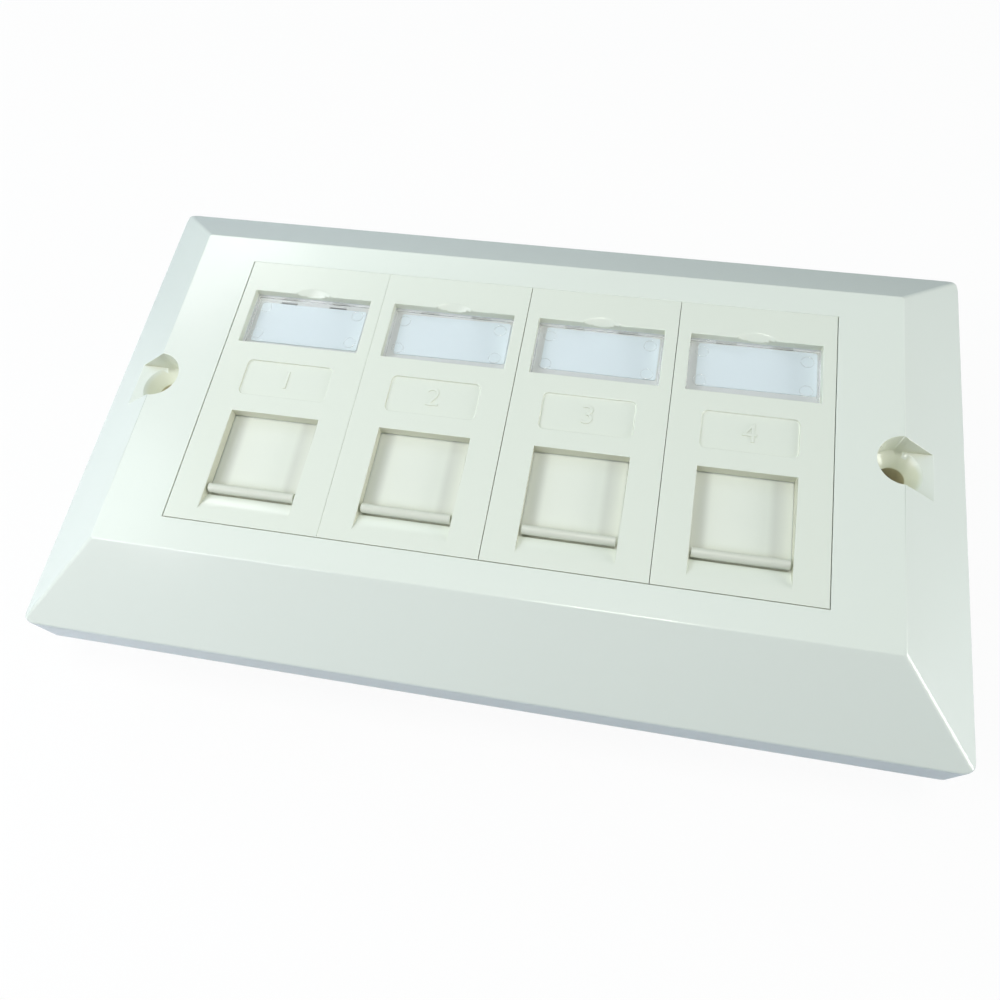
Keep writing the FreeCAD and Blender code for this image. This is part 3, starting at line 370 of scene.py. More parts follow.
# %% Acrylic and card
def clear_acrylic():
    """Polished clear plastic that lets the lamps' light through."""
    made, tree, shader = new_material("clear acrylic")
    shader.inputs["Base Color"].default_value = (0.985, 0.99, 0.99, 1)
    shader.inputs["Transmission Weight"].default_value = 1.0
    shader.inputs["IOR"].default_value = 1.49
    surface = step(tree, "ShaderNodeGroup", node_tree=skin)
    rough = ranged(tree, surface.outputs["Touch"], 0.0, 1.0, 0.01, 0.09)
    tree.links.new(rough, shader.inputs["Roughness"])
    bumped(tree, shader, surface.outputs["Height"], 3e-6)
    path = step(tree, "ShaderNodeLightPath")
    passing = step(tree, "ShaderNodeBsdfTransparent", {"Color": (0.975, 0.985, 0.985, 1)})
    through = sums(tree, "MAXIMUM", path.outputs["Is Shadow Ray"], path.outputs["Is Diffuse Ray"])
    both = shader_mix(tree, through, shader.outputs[0], passing.outputs[0])
    tree.links.new(both, tree.nodes["Material Output"].inputs["Surface"])
    return made


def label_paper():
    """Blank bluish-white card with a fine fibre."""
    made, tree, shader = new_material("blank label card")
    place = step(tree, "ShaderNodeTexCoord").outputs["Object"]
    laid = step(tree, "ShaderNodeMapping", {"Vector": place, "Scale": (1.0, 2.6, 1.0)}).outputs[0]
    fibre = noise(tree, laid, 3200.0, 4.0)
    tint = blended(tree, fibre, (0.74, 0.82, 0.88), (0.80, 0.87, 0.91))
    tree.links.new(tint, shader.inputs["Base Color"])
    bumped(tree, shader, fibre, 8e-6)
    shader.inputs["Roughness"].default_value = 0.75
    return made


acrylic = clear_acrylic()
card_blue = label_paper()
print("clear and card", acrylic.name, card_blue.name)


# %% [markdown]
# ## Metals and the circuit board
#
# Drawn wire keeps fine lines along its length, gold plating is smoother, and tin is duller. The
# noise is stretched along the wire's own run, and only the roughness changes with it. The board
# is green lacquer on the faces, with the pale glass-fibre core showing on the sawn edges.

# %% Metals
def metal(name, colour, gloss, stretch):
    """A plated metal with fine draw lines along one direction."""
    made, tree, shader = new_material(name)
    shader.inputs["Metallic"].default_value = 1.0
    place = step(tree, "ShaderNodeTexCoord").outputs["Object"]
    drawn = step(tree, "ShaderNodeMapping", {"Vector": place, "Scale": stretch}).outputs[0]
    lines = noise(tree, drawn, 2600.0, 3.0)
    worn = tuple(part * 0.82 for part in colour)
    tint = blended(tree, lines, worn, colour)
    tree.links.new(tint, shader.inputs["Base Color"])
    rough = ranged(tree, lines, 0.0, 1.0, gloss * 0.6, gloss * 1.4)
    tree.links.new(rough, shader.inputs["Roughness"])
    bumped(tree, shader, lines, 4e-6)
    return made


spring_wire_steel = metal("drawn spring wire", (0.62, 0.62, 0.63), 0.32, (1.0, 0.3, 1.0))
contact_gold = metal("gold plated contacts", (0.86, 0.62, 0.26), 0.2, (1.0, 1.0, 0.15))
blade_tin = metal("tinned blades", (0.72, 0.72, 0.71), 0.36, (1.0, 1.0, 0.2))


# %% The board
def lacquered_board():
    """Green lacquer on the flat sides, bare glass fibre on the edges."""
    made, tree, shader = new_material("lacquered board")
    place = step(tree, "ShaderNodeTexCoord").outputs
    weave = noise(tree, place["Object"], 1800.0, 3.0)
    green = blended(tree, weave, (0.015, 0.12, 0.05), (0.03, 0.2, 0.09))
    fibre = blended(tree, weave, (0.36, 0.4, 0.22), (0.5, 0.5, 0.32))
    facing = step(tree, "ShaderNodeSeparateXYZ", {0: place["Normal"]}).outputs[2]
    flat = sums(tree, "GREATER_THAN", sums(tree, "ABSOLUTE", facing), 0.7)
    tree.links.new(blended(tree, flat, fibre, green), shader.inputs["Base Color"])
    bumped(tree, shader, weave, 8e-6)
    shader.inputs["Roughness"].default_value = 0.35
    return made


board_green = lacquered_board()
metals = (spring_wire_steel, contact_gold, blade_tin)
print("metals and board", [made.name for made in (*metals, board_green)])

# %% [markdown]
# ## Moulded edges
#
# A CAD solid has perfectly sharp edges, and they give a plastic part away at once, because a real
# moulding catches a thin line of light on each of them. A Bevel modifier would round them, but
# it slows down to the narrowest face of the whole part. Here the bevel is made in mesh code: it
# is tried on every sharp edge, the places where it folded over are found by comparing the result
# with the solid, and the edges near them are left sharp on the next try.

# %% Round the edges that have room
SAME_POINT = 2e-6
SAME_PLANE = math.radians(1)
SHARP = math.radians(32)


def plain_shell(node):
    """The surface of a solid as one closed shell: its loose triangles joined, its flats whole."""
    shell = bmesh.new()
    shell.from_mesh(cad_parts[node].data)
    bmesh.ops.remove_doubles(shell, verts=shell.verts, dist=SAME_POINT)
    bmesh.ops.dissolve_limit(shell, angle_limit=SAME_PLANE, verts=shell.verts, edges=shell.edges)
    bmesh.ops.dissolve_degenerate(shell, dist=SAME_POINT, edges=shell.edges)
    return shell


def distance_to_edge(point, edge):
    """How far a point is from an edge."""
    start, end = (corner.co for corner in edge.verts)
    along = (end - start).normalized()
    reach = max(0.0, min((point - start).dot(along), (end - start).length))
    return (start + along * reach - point).length


def rounded(shell, width, segments=2, tries=7):
    """Round the sharp edges of a shell where there is room; returns a new shell and the count."""
    shell.edges.index_update()
    shell.faces.index_update()
    surface = BVHTree.FromBMesh(shell)
    closed = (edge for edge in shell.edges if edge.is_manifold)
    sharp = {edge.index: edge for edge in closed if edge.calc_face_angle(0) > SHARP}
    for attempt in range(tries):
        trial = shell.copy()
        trial.edges.ensure_lookup_table()
        bmesh.ops.bevel(
            trial, geom=[trial.edges[index] for index in sharp], offset=width, offset_type="OFFSET",
            segments=segments, profile=0.5, affect="EDGES", clamp_overlap=False, loop_slide=True,
        )
        trial.normal_update()
        folded = []
        for face in trial.faces:
            middle = face.calc_center_median()
            normal, away = surface.find_nearest(middle)[1::2]
            if face.calc_area() > 1e-12 and (away > width or face.normal.dot(normal) < -0.05):
                folded.append(middle)
        for loops in trial.calc_loop_triangles():
            first, second, third = (loop.vert.co for loop in loops)
            upward = (second - first).cross(third - first)
            if upward.length > 2e-9 and upward.dot(loops[0].face.normal) < -0.5 * upward.length:
                folded.extend((first.copy(), second.copy(), third.copy()))
        if not folded:
            break
        sharp = {
            index: edge for index, edge in sharp.items()
            if all(distance_to_edge(middle, edge) > 1.6 * width for middle in folded)
        }
        if attempt < tries - 1:
            trial.free()
    return trial, len(sharp)


print("edges rounded where they turn by more than", round(math.degrees(SHARP)), "degrees")


# %% Make a piece from a shell
def piece(name, shell, material, body, smooth=34):
    """Turn a shell into a finished piece that rides on a body."""
    mesh = bpy.data.meshes.new(name)
    shell.to_mesh(mesh)
    shell.free()
    return finished(name, mesh, material, body, smooth)


def finished(name, mesh, material, body, smooth=34):
    """Shade a mesh, give it its material and make it ride on a body."""
    mesh.materials.clear()
    mesh.materials.append(material)
    mesh.shade_smooth()
    mesh.set_sharp_from_angle(angle=math.radians(smooth))
    made = bpy.data.objects.new(name, mesh)
    bpy.context.collection.objects.link(made)
    even = made.modifiers.new("even shading", "WEIGHTED_NORMAL")
    even.keep_sharp = True
    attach(made, body)
    return made


def dressed(node, width, material, body="plate", change=None, smooth=34):
    """Replace a solid by a copy with rounded edges; change may alter the shell first."""
    shell = plain_shell(node)
    if change:
        shell = change(shell)
    trial, count = rounded(shell, width)
    shell.free()
    made = piece(f"{node}_skin", trial, material, body, smooth)
    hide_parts(node)
    print(node, "edges rounded", count, "faces", len(made.data.polygons))
    return made


# %% [markdown]
# ## The plate
#
# The plate is one moulding: a flat front with a wide sloping bevel down to a low skirt, an open
# hollow at the back, and two screw seats. Its big bevels, mitres and rim are already rounded in
# the solid, so only the finer edges, such as the opening's and the screw seats', are rounded.

# %% The plate
dressed("faceplate", 0.1 * MM, plate_white)

# %% [markdown]
# ## Module frames
#
# Each module frame is a separate creamier moulding. The frames sit so close that their seams are
# hardly a tenth of a millimetre wide, so each frame's outer corners move out a little first, and
# the foot of its finger ramp comes up. Under the label card the well has two latch slots, which
# show dark where a card has slid down. They are cut from the shell with a Boolean, before the
# edges are rounded.

# %% The module frames
WELL_FLOOR = 14.4
WELL_WALL = 1.0
LATCH_SLOTS = {"middles": (-4.75, 4.25), "half": 1.5, "along": (17.75, 18.4)}
RAMP_FOOT = (-19.85, 14.9)
NEAR = 0.02


def module_centre(port):
    """The middle of a module across the plate, in metres."""
    low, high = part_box(f"module_frame_{port}")
    return (low.x + high.x) / 2


def block(low, high):
    """A box between two corners in millimetres, as a new mesh object for a cut."""
    shell = bmesh.new()
    size = [(b - a) * MM for a, b in zip(low, high)]
    middle = [(a + b) / 2 * MM for a, b in zip(low, high)]
    place = Matrix.Translation(middle) @ Matrix.Diagonal([*size, 1])
    bmesh.ops.create_cube(shell, size=1, matrix=place)
    mesh = bpy.data.meshes.new("cutter")
    shell.to_mesh(mesh)
    shell.free()
    made = bpy.data.objects.new("cutter", mesh)
    bpy.context.collection.objects.link(made)
    return made


def applied(made):
    """The mesh of an object with its modifiers applied."""
    depsgraph = bpy.context.evaluated_depsgraph_get()
    return bpy.data.meshes.new_from_object(made.evaluated_get(depsgraph))


def cut(shell, cutters):
    """Take blocks away from a shell with the exact Boolean; returns the new shell."""
    mesh = bpy.data.meshes.new("work")
    shell.to_mesh(mesh)
    shell.free()
    work = bpy.data.objects.new("work", mesh)
    bpy.context.collection.objects.link(work)
    for cutter in cutters:
        boolean = work.modifiers.new("cut", "BOOLEAN")
        boolean.operation = "DIFFERENCE"
        boolean.solver = "EXACT"
        boolean.object = cutter
    result = applied(work)
    made = bmesh.new()
    made.from_mesh(result)
    bmesh.ops.dissolve_limit(made, angle_limit=SAME_PLANE, verts=made.verts, edges=made.edges)
    for spare in (work, *cutters):
        old = spare.data
        bpy.data.objects.remove(spare)
        bpy.data.meshes.remove(old)
    bpy.data.meshes.remove(result)
    return made


FACE = solid_box[1].z / MM
FLANGE_BACK = 11.4
RAMP_RISE = 0.3
SEAM = {1: (0.1, 0.11), 2: (0.11, 0.07), 3: (0.07, 0.07), 4: (0.07, 0.1)}
SIDE_WALL, END_WALL = 12.1, 24.7
SOLID_EASE = 0.15


def seam_shift(port, x, y, z):
    """How far a corner of a frame moves so that its seams get as thin as in the photograph."""
    left, right = SEAM[port]
    at_side, at_end = abs(x) > SIDE_WALL, abs(y) > END_WALL
    side = (right if x > 0 else -left) if at_side else 0.0
    end = (0.1 if y > 0 else -0.02) if at_end else 0.0
    if z > FACE - 0.05:
        side += math.copysign(SOLID_EASE, x) if at_side else 0.0
        end += math.copysign(SOLID_EASE, y) if at_end else 0.0
    lift = SOLID_EASE if FACE - 0.25 < z < FACE - 0.15 and (side or end) else 0.0
    return Vector((side, end, lift)) * MM


def frame_change(port):
    """A change that narrows a frame's seams and cuts two latch slots through its label well."""
    centre = module_centre(port) / MM

    def change(shell):
        for corner in shell.verts:
            x, y, z = corner.co.x / MM - centre, corner.co.y / MM, corner.co.z / MM
            if z > FLANGE_BACK:
                corner.co += seam_shift(port, x, y, z)
            if abs(y - RAMP_FOOT[0]) < NEAR and abs(z - RAMP_FOOT[1]) < NEAR:
                corner.co.z += RAMP_RISE * MM
        half, (start, end) = LATCH_SLOTS["half"], LATCH_SLOTS["along"]
        foot, top = WELL_FLOOR - WELL_WALL - 0.3, WELL_FLOOR + 0.3
        middles = [centre + side for side in LATCH_SLOTS["middles"]]
        return cut(shell, [block((x - half, start, foot), (x + half, end, top)) for x in middles])

    return change


for port in PORTS:
    change = frame_change(port)
    dressed(f"module_frame_{port}", 0.13 * MM, module_cream, change=change)

# %% [markdown]
# ## Carriers, jacks, blocks and caps
#
# Behind each frame a carrier holds the jack, and the jack carries a board, a punch-down block and
# a dust cap. They show only from the back or while a shutter is open, but they are dressed in
# the same way, each with the radius that its tool would leave.

# %% The parts behind the face
for port in PORTS:
    dressed(f"jack_carrier_{port}", 0.15 * MM, module_cream)
    dressed(f"jack_housing_{port}", 0.15 * MM, jack_white)
    dressed(f"circuit_board_{port}", 0.06 * MM, board_green)
    dressed(f"idc_block_{port}", 0.1 * MM, block_white)
    dressed(f"dust_cap_{port}", 0.2 * MM, cap_grey)

# %% [markdown]
# ## Shutters
#
# A shutter is a thin plate with a round finger bar along its lower edge. The bar stops just short
# of the walls beside it, and that small gap reads as a dark line at each end. The shutter slides
# up behind the frame, so it rides on its own body.

# %% The shutters
BAR_HALF = 7.3
BAR_FOOT = 14.5
BAR_GAP = 0.25


def shutter_change(port):
    """A change that leaves a small gap at the ends of a shutter's bar."""
    centre = module_centre(port) / MM

    def change(shell):
        for corner in shell.verts:
            x = corner.co.x / MM - centre
            if abs(abs(x) - BAR_HALF) < 0.05 and corner.co.z > BAR_FOOT * MM:
                corner.co.x -= math.copysign(BAR_GAP * MM, x)
        return shell

    return change


for port in PORTS:
    name, change = f"shutter_{port}", shutter_change(port)
    dressed(name, 0.1 * MM, shutter_cream, name, change=change)

# %% [markdown]
# ## Label panes and cards
#
# The pane is a clear tray, open at the back, and the card lies under it. Its face lies about a
# millimetre below the frame's face. Two surfaces in the same place draw dark streaks through
# glass, so the pane's sides run a little way into the frame's walls. The cards are cut by
# hand, so they don't sit alike: the first has slid down and shows both latch slots, the second
# is slightly turned and shows one, and the others cover them.

# %% The panes and cards
CARDS = {1: (0.1, 0.1, 0.2), 2: (0.4, 0.6, 0.5), 3: (0.4, 0.75, -0.2), 4: (0.55, 0.82, 0.5)}
CARD_HEIGHT = 8.1
CARD_CORNER = 0.35


def card(port):
    """A card with slightly rounded corners, laid in its well and turned a little."""
    low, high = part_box(f"label_card_{port}")
    across, along, turn = CARDS[port]
    width = (high.x - low.x) - 0.1 * MM
    shell = bmesh.new()
    bmesh.ops.create_grid(shell, x_segments=24, y_segments=10, size=0.5)
    for corner in shell.verts:
        corner.co.x *= width
        corner.co.y *= CARD_HEIGHT * MM
    corners = [corner for corner in shell.verts if len(corner.link_edges) == 2]
    bmesh.ops.bevel(
        shell, geom=corners, offset=CARD_CORNER * MM, segments=4, profile=0.5, affect="VERTICES"
    )
    thick = (high.z - low.z) * 0.8
    top = bmesh.ops.extrude_face_region(shell, geom=shell.faces[:])
    for corner in (part for part in top["geom"] if isinstance(part, bmesh.types.BMVert)):
        corner.co.z += thick
    bmesh.ops.recalc_face_normals(shell, faces=shell.faces)
    middle = Vector(((low.x + high.x) / 2, (low.y + high.y) / 2, low.z))
    middle += Vector((across, along, 0.01)) * MM
    place = Matrix.Translation(middle) @ Matrix.Rotation(math.radians(turn), 4, "Z")
    bmesh.ops.transform(shell, verts=shell.verts, matrix=place)
    made = piece(f"label_card_{port}_paper", shell, card_blue, "plate")
    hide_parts(f"label_card_{port}")


PANE_TOP = 15.4
PANE_FOOT = 14.44
RIM_CUT = 0.32
PANE_GROW = 0.14
SOLID_PANE = {"along": 13.7, "side": 10.2, "end": (5.15, 5.4), "below": 16.2}
SOLID_TOP, SOLID_FOOT = 16.05, 14.45
HOLLOW = {"side": 9.85, "end": 4.8, "roof": 14.75}


def pane_change(port):
    """A change that sinks the pane's face below the frame's, lifts its foot and thins its rim."""
    centre = Vector((module_centre(port), SOLID_PANE["along"] * MM, 0))
    near_end, far_end = SOLID_PANE["end"]

    def change(shell):
        for corner in shell.verts:
            height = corner.co.z / MM
            x, y = (abs(value) / MM for value in (corner.co - centre).xy)
            if height < SOLID_PANE["below"] and x > SOLID_PANE["side"]:
                corner.co.x += math.copysign(PANE_GROW * MM, corner.co.x - centre.x)
            if height < SOLID_PANE["below"] and near_end < y < far_end:
                corner.co.y += math.copysign(PANE_GROW * MM, corner.co.y - centre.y)
            if height > SOLID_TOP:
                corner.co.z += (PANE_TOP - (FACE - 0.2)) * MM
            elif height < SOLID_FOOT:
                corner.co.z = PANE_FOOT * MM
            if height < HOLLOW["roof"] and x < HOLLOW["side"] and y < HOLLOW["end"]:
                corner.co.x += math.copysign(RIM_CUT * MM, corner.co.x - centre.x)
                corner.co.y += math.copysign(RIM_CUT * MM, corner.co.y - centre.y)
        return shell

    return change


for port in PORTS:
    change = pane_change(port)
    dressed(f"label_window_{port}", 0.1 * MM, acrylic, change=change, smooth=5)
    card(port)
print("cards laid", len(CARDS))


# %% [markdown]
# ## A tree that repeats a shape in rows
#
# Contact wires and punch-down blades come in straight rows. One Geometry Nodes tree takes one
# shape and sets it out on a grid of points with named counts and pitches. The instances are
# realized at the end, because the model that is handed on keeps only real meshes.

# %% Steps that the trees share
def circle(tree, count, radius):
    """A circle with a number of corners; returns its curve's socket."""
    fill = {"Resolution": count, "Radius": radius}
    return step(tree, "GeometryNodeCurvePrimitiveCircle", fill).outputs[0]


def close_tree(tree, shape, given, results):
    """Make a shape's instances real, give them the tree's own material and put them out."""
    real = step(tree, "GeometryNodeRealizeInstances", {"Geometry": shape}).outputs[0]
    fill = {"Geometry": real, "Material": given["Finish"]}
    tree.links.new(step(tree, "GeometryNodeSetMaterial", fill).outputs[0], results.inputs[0])


def swept_along(tree, path, profile):
    """Sweep a profile along a path and close its ends; returns the shape's socket."""
    fill = {"Curve": path, "Profile Curve": profile, "Fill Caps": True}
    return step(tree, "GeometryNodeCurveToMesh", fill).outputs[0]


# %% The row tree
rows, given, results = open_group(
    "rows of one shape",
    "GeometryNodeTree",
    {
        "Geometry": ("NodeSocketGeometry", None),
        "Across": ("NodeSocketInt", 1),
        "Along": ("NodeSocketInt", 1),
        "Width": ("NodeSocketFloat", 0.0),
        "Length": ("NodeSocketFloat", 0.0),
        "Centre": ("NodeSocketVector", (0.0, 0.0, 0.0)),
        "Finish": ("NodeSocketMaterial", None),
    },
    {"Geometry": "NodeSocketGeometry"},
)
counts = {"Vertices X": given["Across"], "Vertices Y": given["Along"]}
spans = {"Size X": given["Width"], "Size Y": given["Length"]}
points = step(rows, "GeometryNodeMeshGrid", {**spans, **counts}).outputs[0]
moved = {"Geometry": points, "Offset": given["Centre"]}
placed = step(rows, "GeometryNodeSetPosition", moved).outputs[0]
repeated = {"Points": placed, "Instance": given["Geometry"]}
copies = step(rows, "GeometryNodeInstanceOnPoints", repeated).outputs[0]
close_tree(rows, copies, given, results)
print("row tree", len(rows.nodes), "nodes")


# %% Run a tree on a shape
def grown(name, mesh, tree, sizes):
    """The plain mesh that a Geometry Nodes tree makes from a mesh, with its named inputs set."""
    seed = bpy.data.objects.new(name, mesh)
    bpy.context.collection.objects.link(seed)
    modifier = seed.modifiers.new("tree", "NODES")
    modifier.node_group = tree
    for item in tree.interface.items_tree:
        if item.in_out == "INPUT" and item.name in sizes:
            modifier[item.identifier] = sizes[item.name]
    result = applied(seed)
    bpy.data.objects.remove(seed)
    bpy.data.meshes.remove(mesh)
    result.name = name
    return result


# %% [markdown]
# ## Punch-down blades
#
# A blade is a flat fork with a narrow slit and a flared mouth that cuts the wire's jacket. Its
# outline is drawn once in mesh code, given its thickness, and set out eight times.

# %% The blades
def fork_shell():
    """One blade: outline in Y and Z about its own foot, in metres, thickened along X."""
    half, slit, mouth = 1.1, 0.15, 0.55
    tip, foot, root = -12.0, -4.2, -7.6
    right = [(slit, root), (slit, tip + 0.8), (mouth, tip)]
    right += [(half - 0.3, tip), (half, tip + 0.35), (half, foot)]
    outline = [(-y, z) for y, z in reversed(right)] + right
    shell = bmesh.new()
    face = shell.faces.new([shell.verts.new((-0.2 * MM, y * MM, z * MM)) for y, z in outline])
    far = bmesh.ops.extrude_face_region(shell, geom=[face])
    corners = [part for part in far["geom"] if isinstance(part, bmesh.types.BMVert)]
    bmesh.ops.translate(shell, verts=corners, vec=(0.4 * MM, 0, 0))
    bmesh.ops.recalc_face_normals(shell, faces=shell.faces)
    softened, _ = rounded(shell, 0.05 * MM)
    shell.free()
    mesh = bpy.data.meshes.new("blade")
    softened.to_mesh(mesh)
    softened.free()
    return mesh


for port in PORTS:
    centre = Vector((module_centre(port), -13.2 * MM, 0))
    spans = {"Across": 2, "Along": 4, "Width": 9.0 * MM, "Length": 9.9 * MM}
    fill = {**spans, "Centre": centre, "Finish": blade_tin}
    mesh = grown(f"idc_blades_{port}_forks", fork_shell(), rows, fill)
    made = finished(mesh.name, mesh, blade_tin, "plate")
    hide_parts(f"idc_blades_{port}")
print("blades", len(made.data.polygons), "faces a port")

# %% [markdown]
# ## Contact wires
#
# Eight springs of flat gold-plated wire come up from the board, fold over at the mouth of the
# jack and slope back into it. The wire follows a path, so a tree turns a line of points into a
# curve, rounds its corners, sweeps a flat profile along it, and repeats it across the jack.

# %% The contact tree
wires, given, results = open_group(
    "wires side by side",
    "GeometryNodeTree",
    {
        "Geometry": ("NodeSocketGeometry", None),
        "Bend": ("NodeSocketFloat", 0.3 * MM),
        "Wire width": ("NodeSocketFloat", 0.45 * MM),
        "Wire thickness": ("NodeSocketFloat", 0.3 * MM),
        "Count": ("NodeSocketInt", 8),
        "Pitch": ("NodeSocketFloat", 1.02 * MM),
        "Finish": ("NodeSocketMaterial", None),
    },
    {"Geometry": "NodeSocketGeometry"},
)
path = step(wires, "GeometryNodeMeshToCurve", {0: given["Geometry"]}).outputs[0]
bends = {"Curve": path, "Radius": given["Bend"], "Count": 5}
bent = step(wires, "GeometryNodeFilletCurve", bends, mode="POLY").outputs[0]
sides = {"Width": given["Wire thickness"], "Height": given["Wire width"]}
strip = step(wires, "GeometryNodeCurvePrimitiveQuadrilateral", sides).outputs[0]
corners = {"Curve": strip, "Radius": 0.09 * MM, "Count": 2}
eased = step(wires, "GeometryNodeFilletCurve", corners, mode="POLY").outputs[0]
swept = swept_along(wires, bent, eased)
reach = times(wires, sums(wires, "SUBTRACT", given["Count"], 1.0), given["Pitch"])
start = step(wires, "ShaderNodeCombineXYZ", {"X": times(wires, reach, -0.5)}).outputs[0]
pitch = step(wires, "ShaderNodeCombineXYZ", {"X": given["Pitch"]}).outputs[0]
across = {"Count": given["Count"], "Start Location": start, "Offset": pitch}
line = step(wires, "GeometryNodeMeshLine", across).outputs[0]
copies = step(wires, "GeometryNodeInstanceOnPoints", {"Points": line, "Instance": swept}).outputs[0]
close_tree(wires, copies, given, results)
print("contact tree", len(wires.nodes), "nodes")


# %% The contacts
def route(points, across=0.0):
    """A chain of edges through points in Y and Z, in millimetres, at one place across."""
    mesh = bpy.data.meshes.new("route")
    links = [(index, index + 1) for index in range(len(points) - 1)]
    mesh.from_pydata([(across, y * MM, z * MM) for y, z in points], links, [])
    return mesh


CONTACT_PATH = [(-9.45, -3.0), (-9.45, 9.1), (-9.75, 9.35), (-11.95, 3.05)]
for port in PORTS:
    run = route(CONTACT_PATH, module_centre(port))
    fill = {"Bend": 0.28 * MM, "Finish": contact_gold}
    mesh = grown(f"jack_contacts_{port}_wires", run, wires, fill)
    made = finished(mesh.name, mesh, contact_gold, "plate")
    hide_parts(f"jack_contacts_{port}")
spread = [sorted(corner.co[axis] / MM for corner in mesh.vertices) for axis in range(3)]
print("contacts reach in mm", [round(values[-1] - values[0], 2) for values in spread])

# %% [markdown]
# ## Coil springs
#
# A compression spring is a helix of round wire whose last turns are wound closed, so that it
# stands square on its seat. The CAD model has a coarse stand-in. Here a tree places the points of
# a long line on a helix: the angle grows evenly, and the height follows the closed turns at both
# ends and the open ones between them.

# %% The spring tree
coil, given, results = open_group(
    "coil spring",
    "GeometryNodeTree",
    {
        "Turns": ("NodeSocketFloat", 13.0),
        "Closed turns": ("NodeSocketFloat", 1.5),
        "Coil radius": ("NodeSocketFloat", 0.94 * MM),
        "Wire": ("NodeSocketFloat", 0.32 * MM),
        "Length": ("NodeSocketFloat", 20.1 * MM),
        "Fixed end": ("NodeSocketVector", (0.0, 0.0, 0.0)),
        "Finish": ("NodeSocketMaterial", None),
    },
    {"Geometry": "NodeSocketGeometry"},
)
samples = times(coil, given["Turns"], 22.0)
long_line = step(coil, "GeometryNodeCurvePrimitiveLine").outputs[0]
fine = {"Curve": long_line, "Count": samples}
fine_line = step(coil, "GeometryNodeResampleCurve", fine).outputs[0]
along = step(coil, "GeometryNodeSplineParameter").outputs["Factor"]
turned = times(coil, along, given["Turns"])
angle = times(coil, turned, math.tau)
closed = given["Closed turns"]
free = sums(coil, "SUBTRACT", given["Turns"], times(coil, closed, 2.0))
closed_height = times(coil, closed, 2.0, given["Wire"])
reach = sums(coil, "SUBTRACT", given["Length"], given["Wire"])
free_height = sums(coil, "SUBTRACT", reach, closed_height)
first = sums(coil, "MINIMUM", turned, closed)
past_first = sums(coil, "SUBTRACT", turned, closed)
last = sums(coil, "MAXIMUM", sums(coil, "SUBTRACT", past_first, free), 0.0)
open_part = sums(coil, "DIVIDE", past_first, free, clamp=True)
ends = times(coil, sums(coil, "ADD", first, last), given["Wire"])
height = sums(coil, "ADD", ends, times(coil, open_part, free_height))
half_wire = times(coil, given["Wire"], 0.5)
lowered = times(coil, sums(coil, "ADD", height, half_wire), -1.0)
side = times(coil, sums(coil, "COSINE", angle), given["Coil radius"])
rise = times(coil, sums(coil, "SINE", angle), given["Coil radius"])
helix = step(coil, "ShaderNodeCombineXYZ", {"X": side, "Y": lowered, "Z": rise}).outputs[0]
both = {0: helix, 1: given["Fixed end"]}
spot = step(coil, "ShaderNodeVectorMath", both, operation="ADD").outputs[0]
wound = step(coil, "GeometryNodeSetPosition", {"Geometry": fine_line, "Position": spot}).outputs[0]
close_tree(coil, swept_along(coil, wound, circle(coil, 10, half_wire)), given, results)
print("spring tree", len(coil.nodes), "nodes")

# %% The springs
for port in PORTS:
    low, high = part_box(f"shutter_spring_{port}")
    seat = Vector(((low.x + high.x) / 2, 4.0 * MM, (low.z + high.z) / 2))
    fill = {"Fixed end": seat, "Finish": spring_wire_steel}
    mesh = grown(f"shutter_spring_{port}_coil", bpy.data.meshes.new("empty"), coil, fill)
    made = finished(mesh.name, mesh, spring_wire_steel, "plate", smooth=80)
    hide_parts(f"shutter_spring_{port}")
    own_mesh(made)
print("springs", len(made.data.polygons), "faces each")

# %% [markdown]
# ## Port numerals
#
# The shallow recess under each window holds a plain port number in low relief. Text is easiest
# as a font curve, which is turned into a mesh first, placed on the floor of the recess, and then
# rounded like the solids, because a font curve's own bevel folds over in the eye of a 4.

# %% The numerals
NUMERAL = {"size": 4.8, "relief": 0.14, "ease": 0.04, "along": 1.55, "floor": 16.2}


def numeral(port):
    """A low-relief port number on the floor of its recess."""
    drawing = bpy.data.curves.new("numeral", "FONT")
    drawing.body = str(port)
    drawing.align_x = drawing.align_y = "CENTER"
    drawing.size = NUMERAL["size"] * MM
    drawing.extrude = NUMERAL["relief"] * MM
    drawing.resolution_u = 8
    sketch = bpy.data.objects.new("numeral", drawing)
    bpy.context.collection.objects.link(sketch)
    mesh = applied(sketch)
    bpy.data.objects.remove(sketch)
    place = (module_centre(port), NUMERAL["along"] * MM, NUMERAL["floor"] * MM)
    mesh.transform(Matrix.Translation(place))
    shell = bmesh.new()
    shell.from_mesh(mesh)
    bmesh.ops.remove_doubles(shell, verts=shell.verts, dist=SAME_POINT)
    bmesh.ops.recalc_face_normals(shell, faces=shell.faces)
    bpy.data.meshes.remove(mesh)
    eased, _ = rounded(shell, NUMERAL["ease"] * MM)
    shell.free()
    return piece(f"port_numeral_{port}", eased, module_cream, "plate", smooth=50)


for port in PORTS:
    made = numeral(port)
print("numerals", len(PORTS), "high in mm", round(max(v.co.z for v in made.data.vertices) / MM, 3))

# %% [markdown]
# ## Pin marks and the gate mark
#
# The pins that push a moulding out of its tool leave faint rings. The label panes show four each,
# near their corners. A tree sweeps a very small profile round a circle and sets the ring on every
# vertex of its input. The first shutter also keeps a small nick in the middle of its bar, where
# the runner broke off.

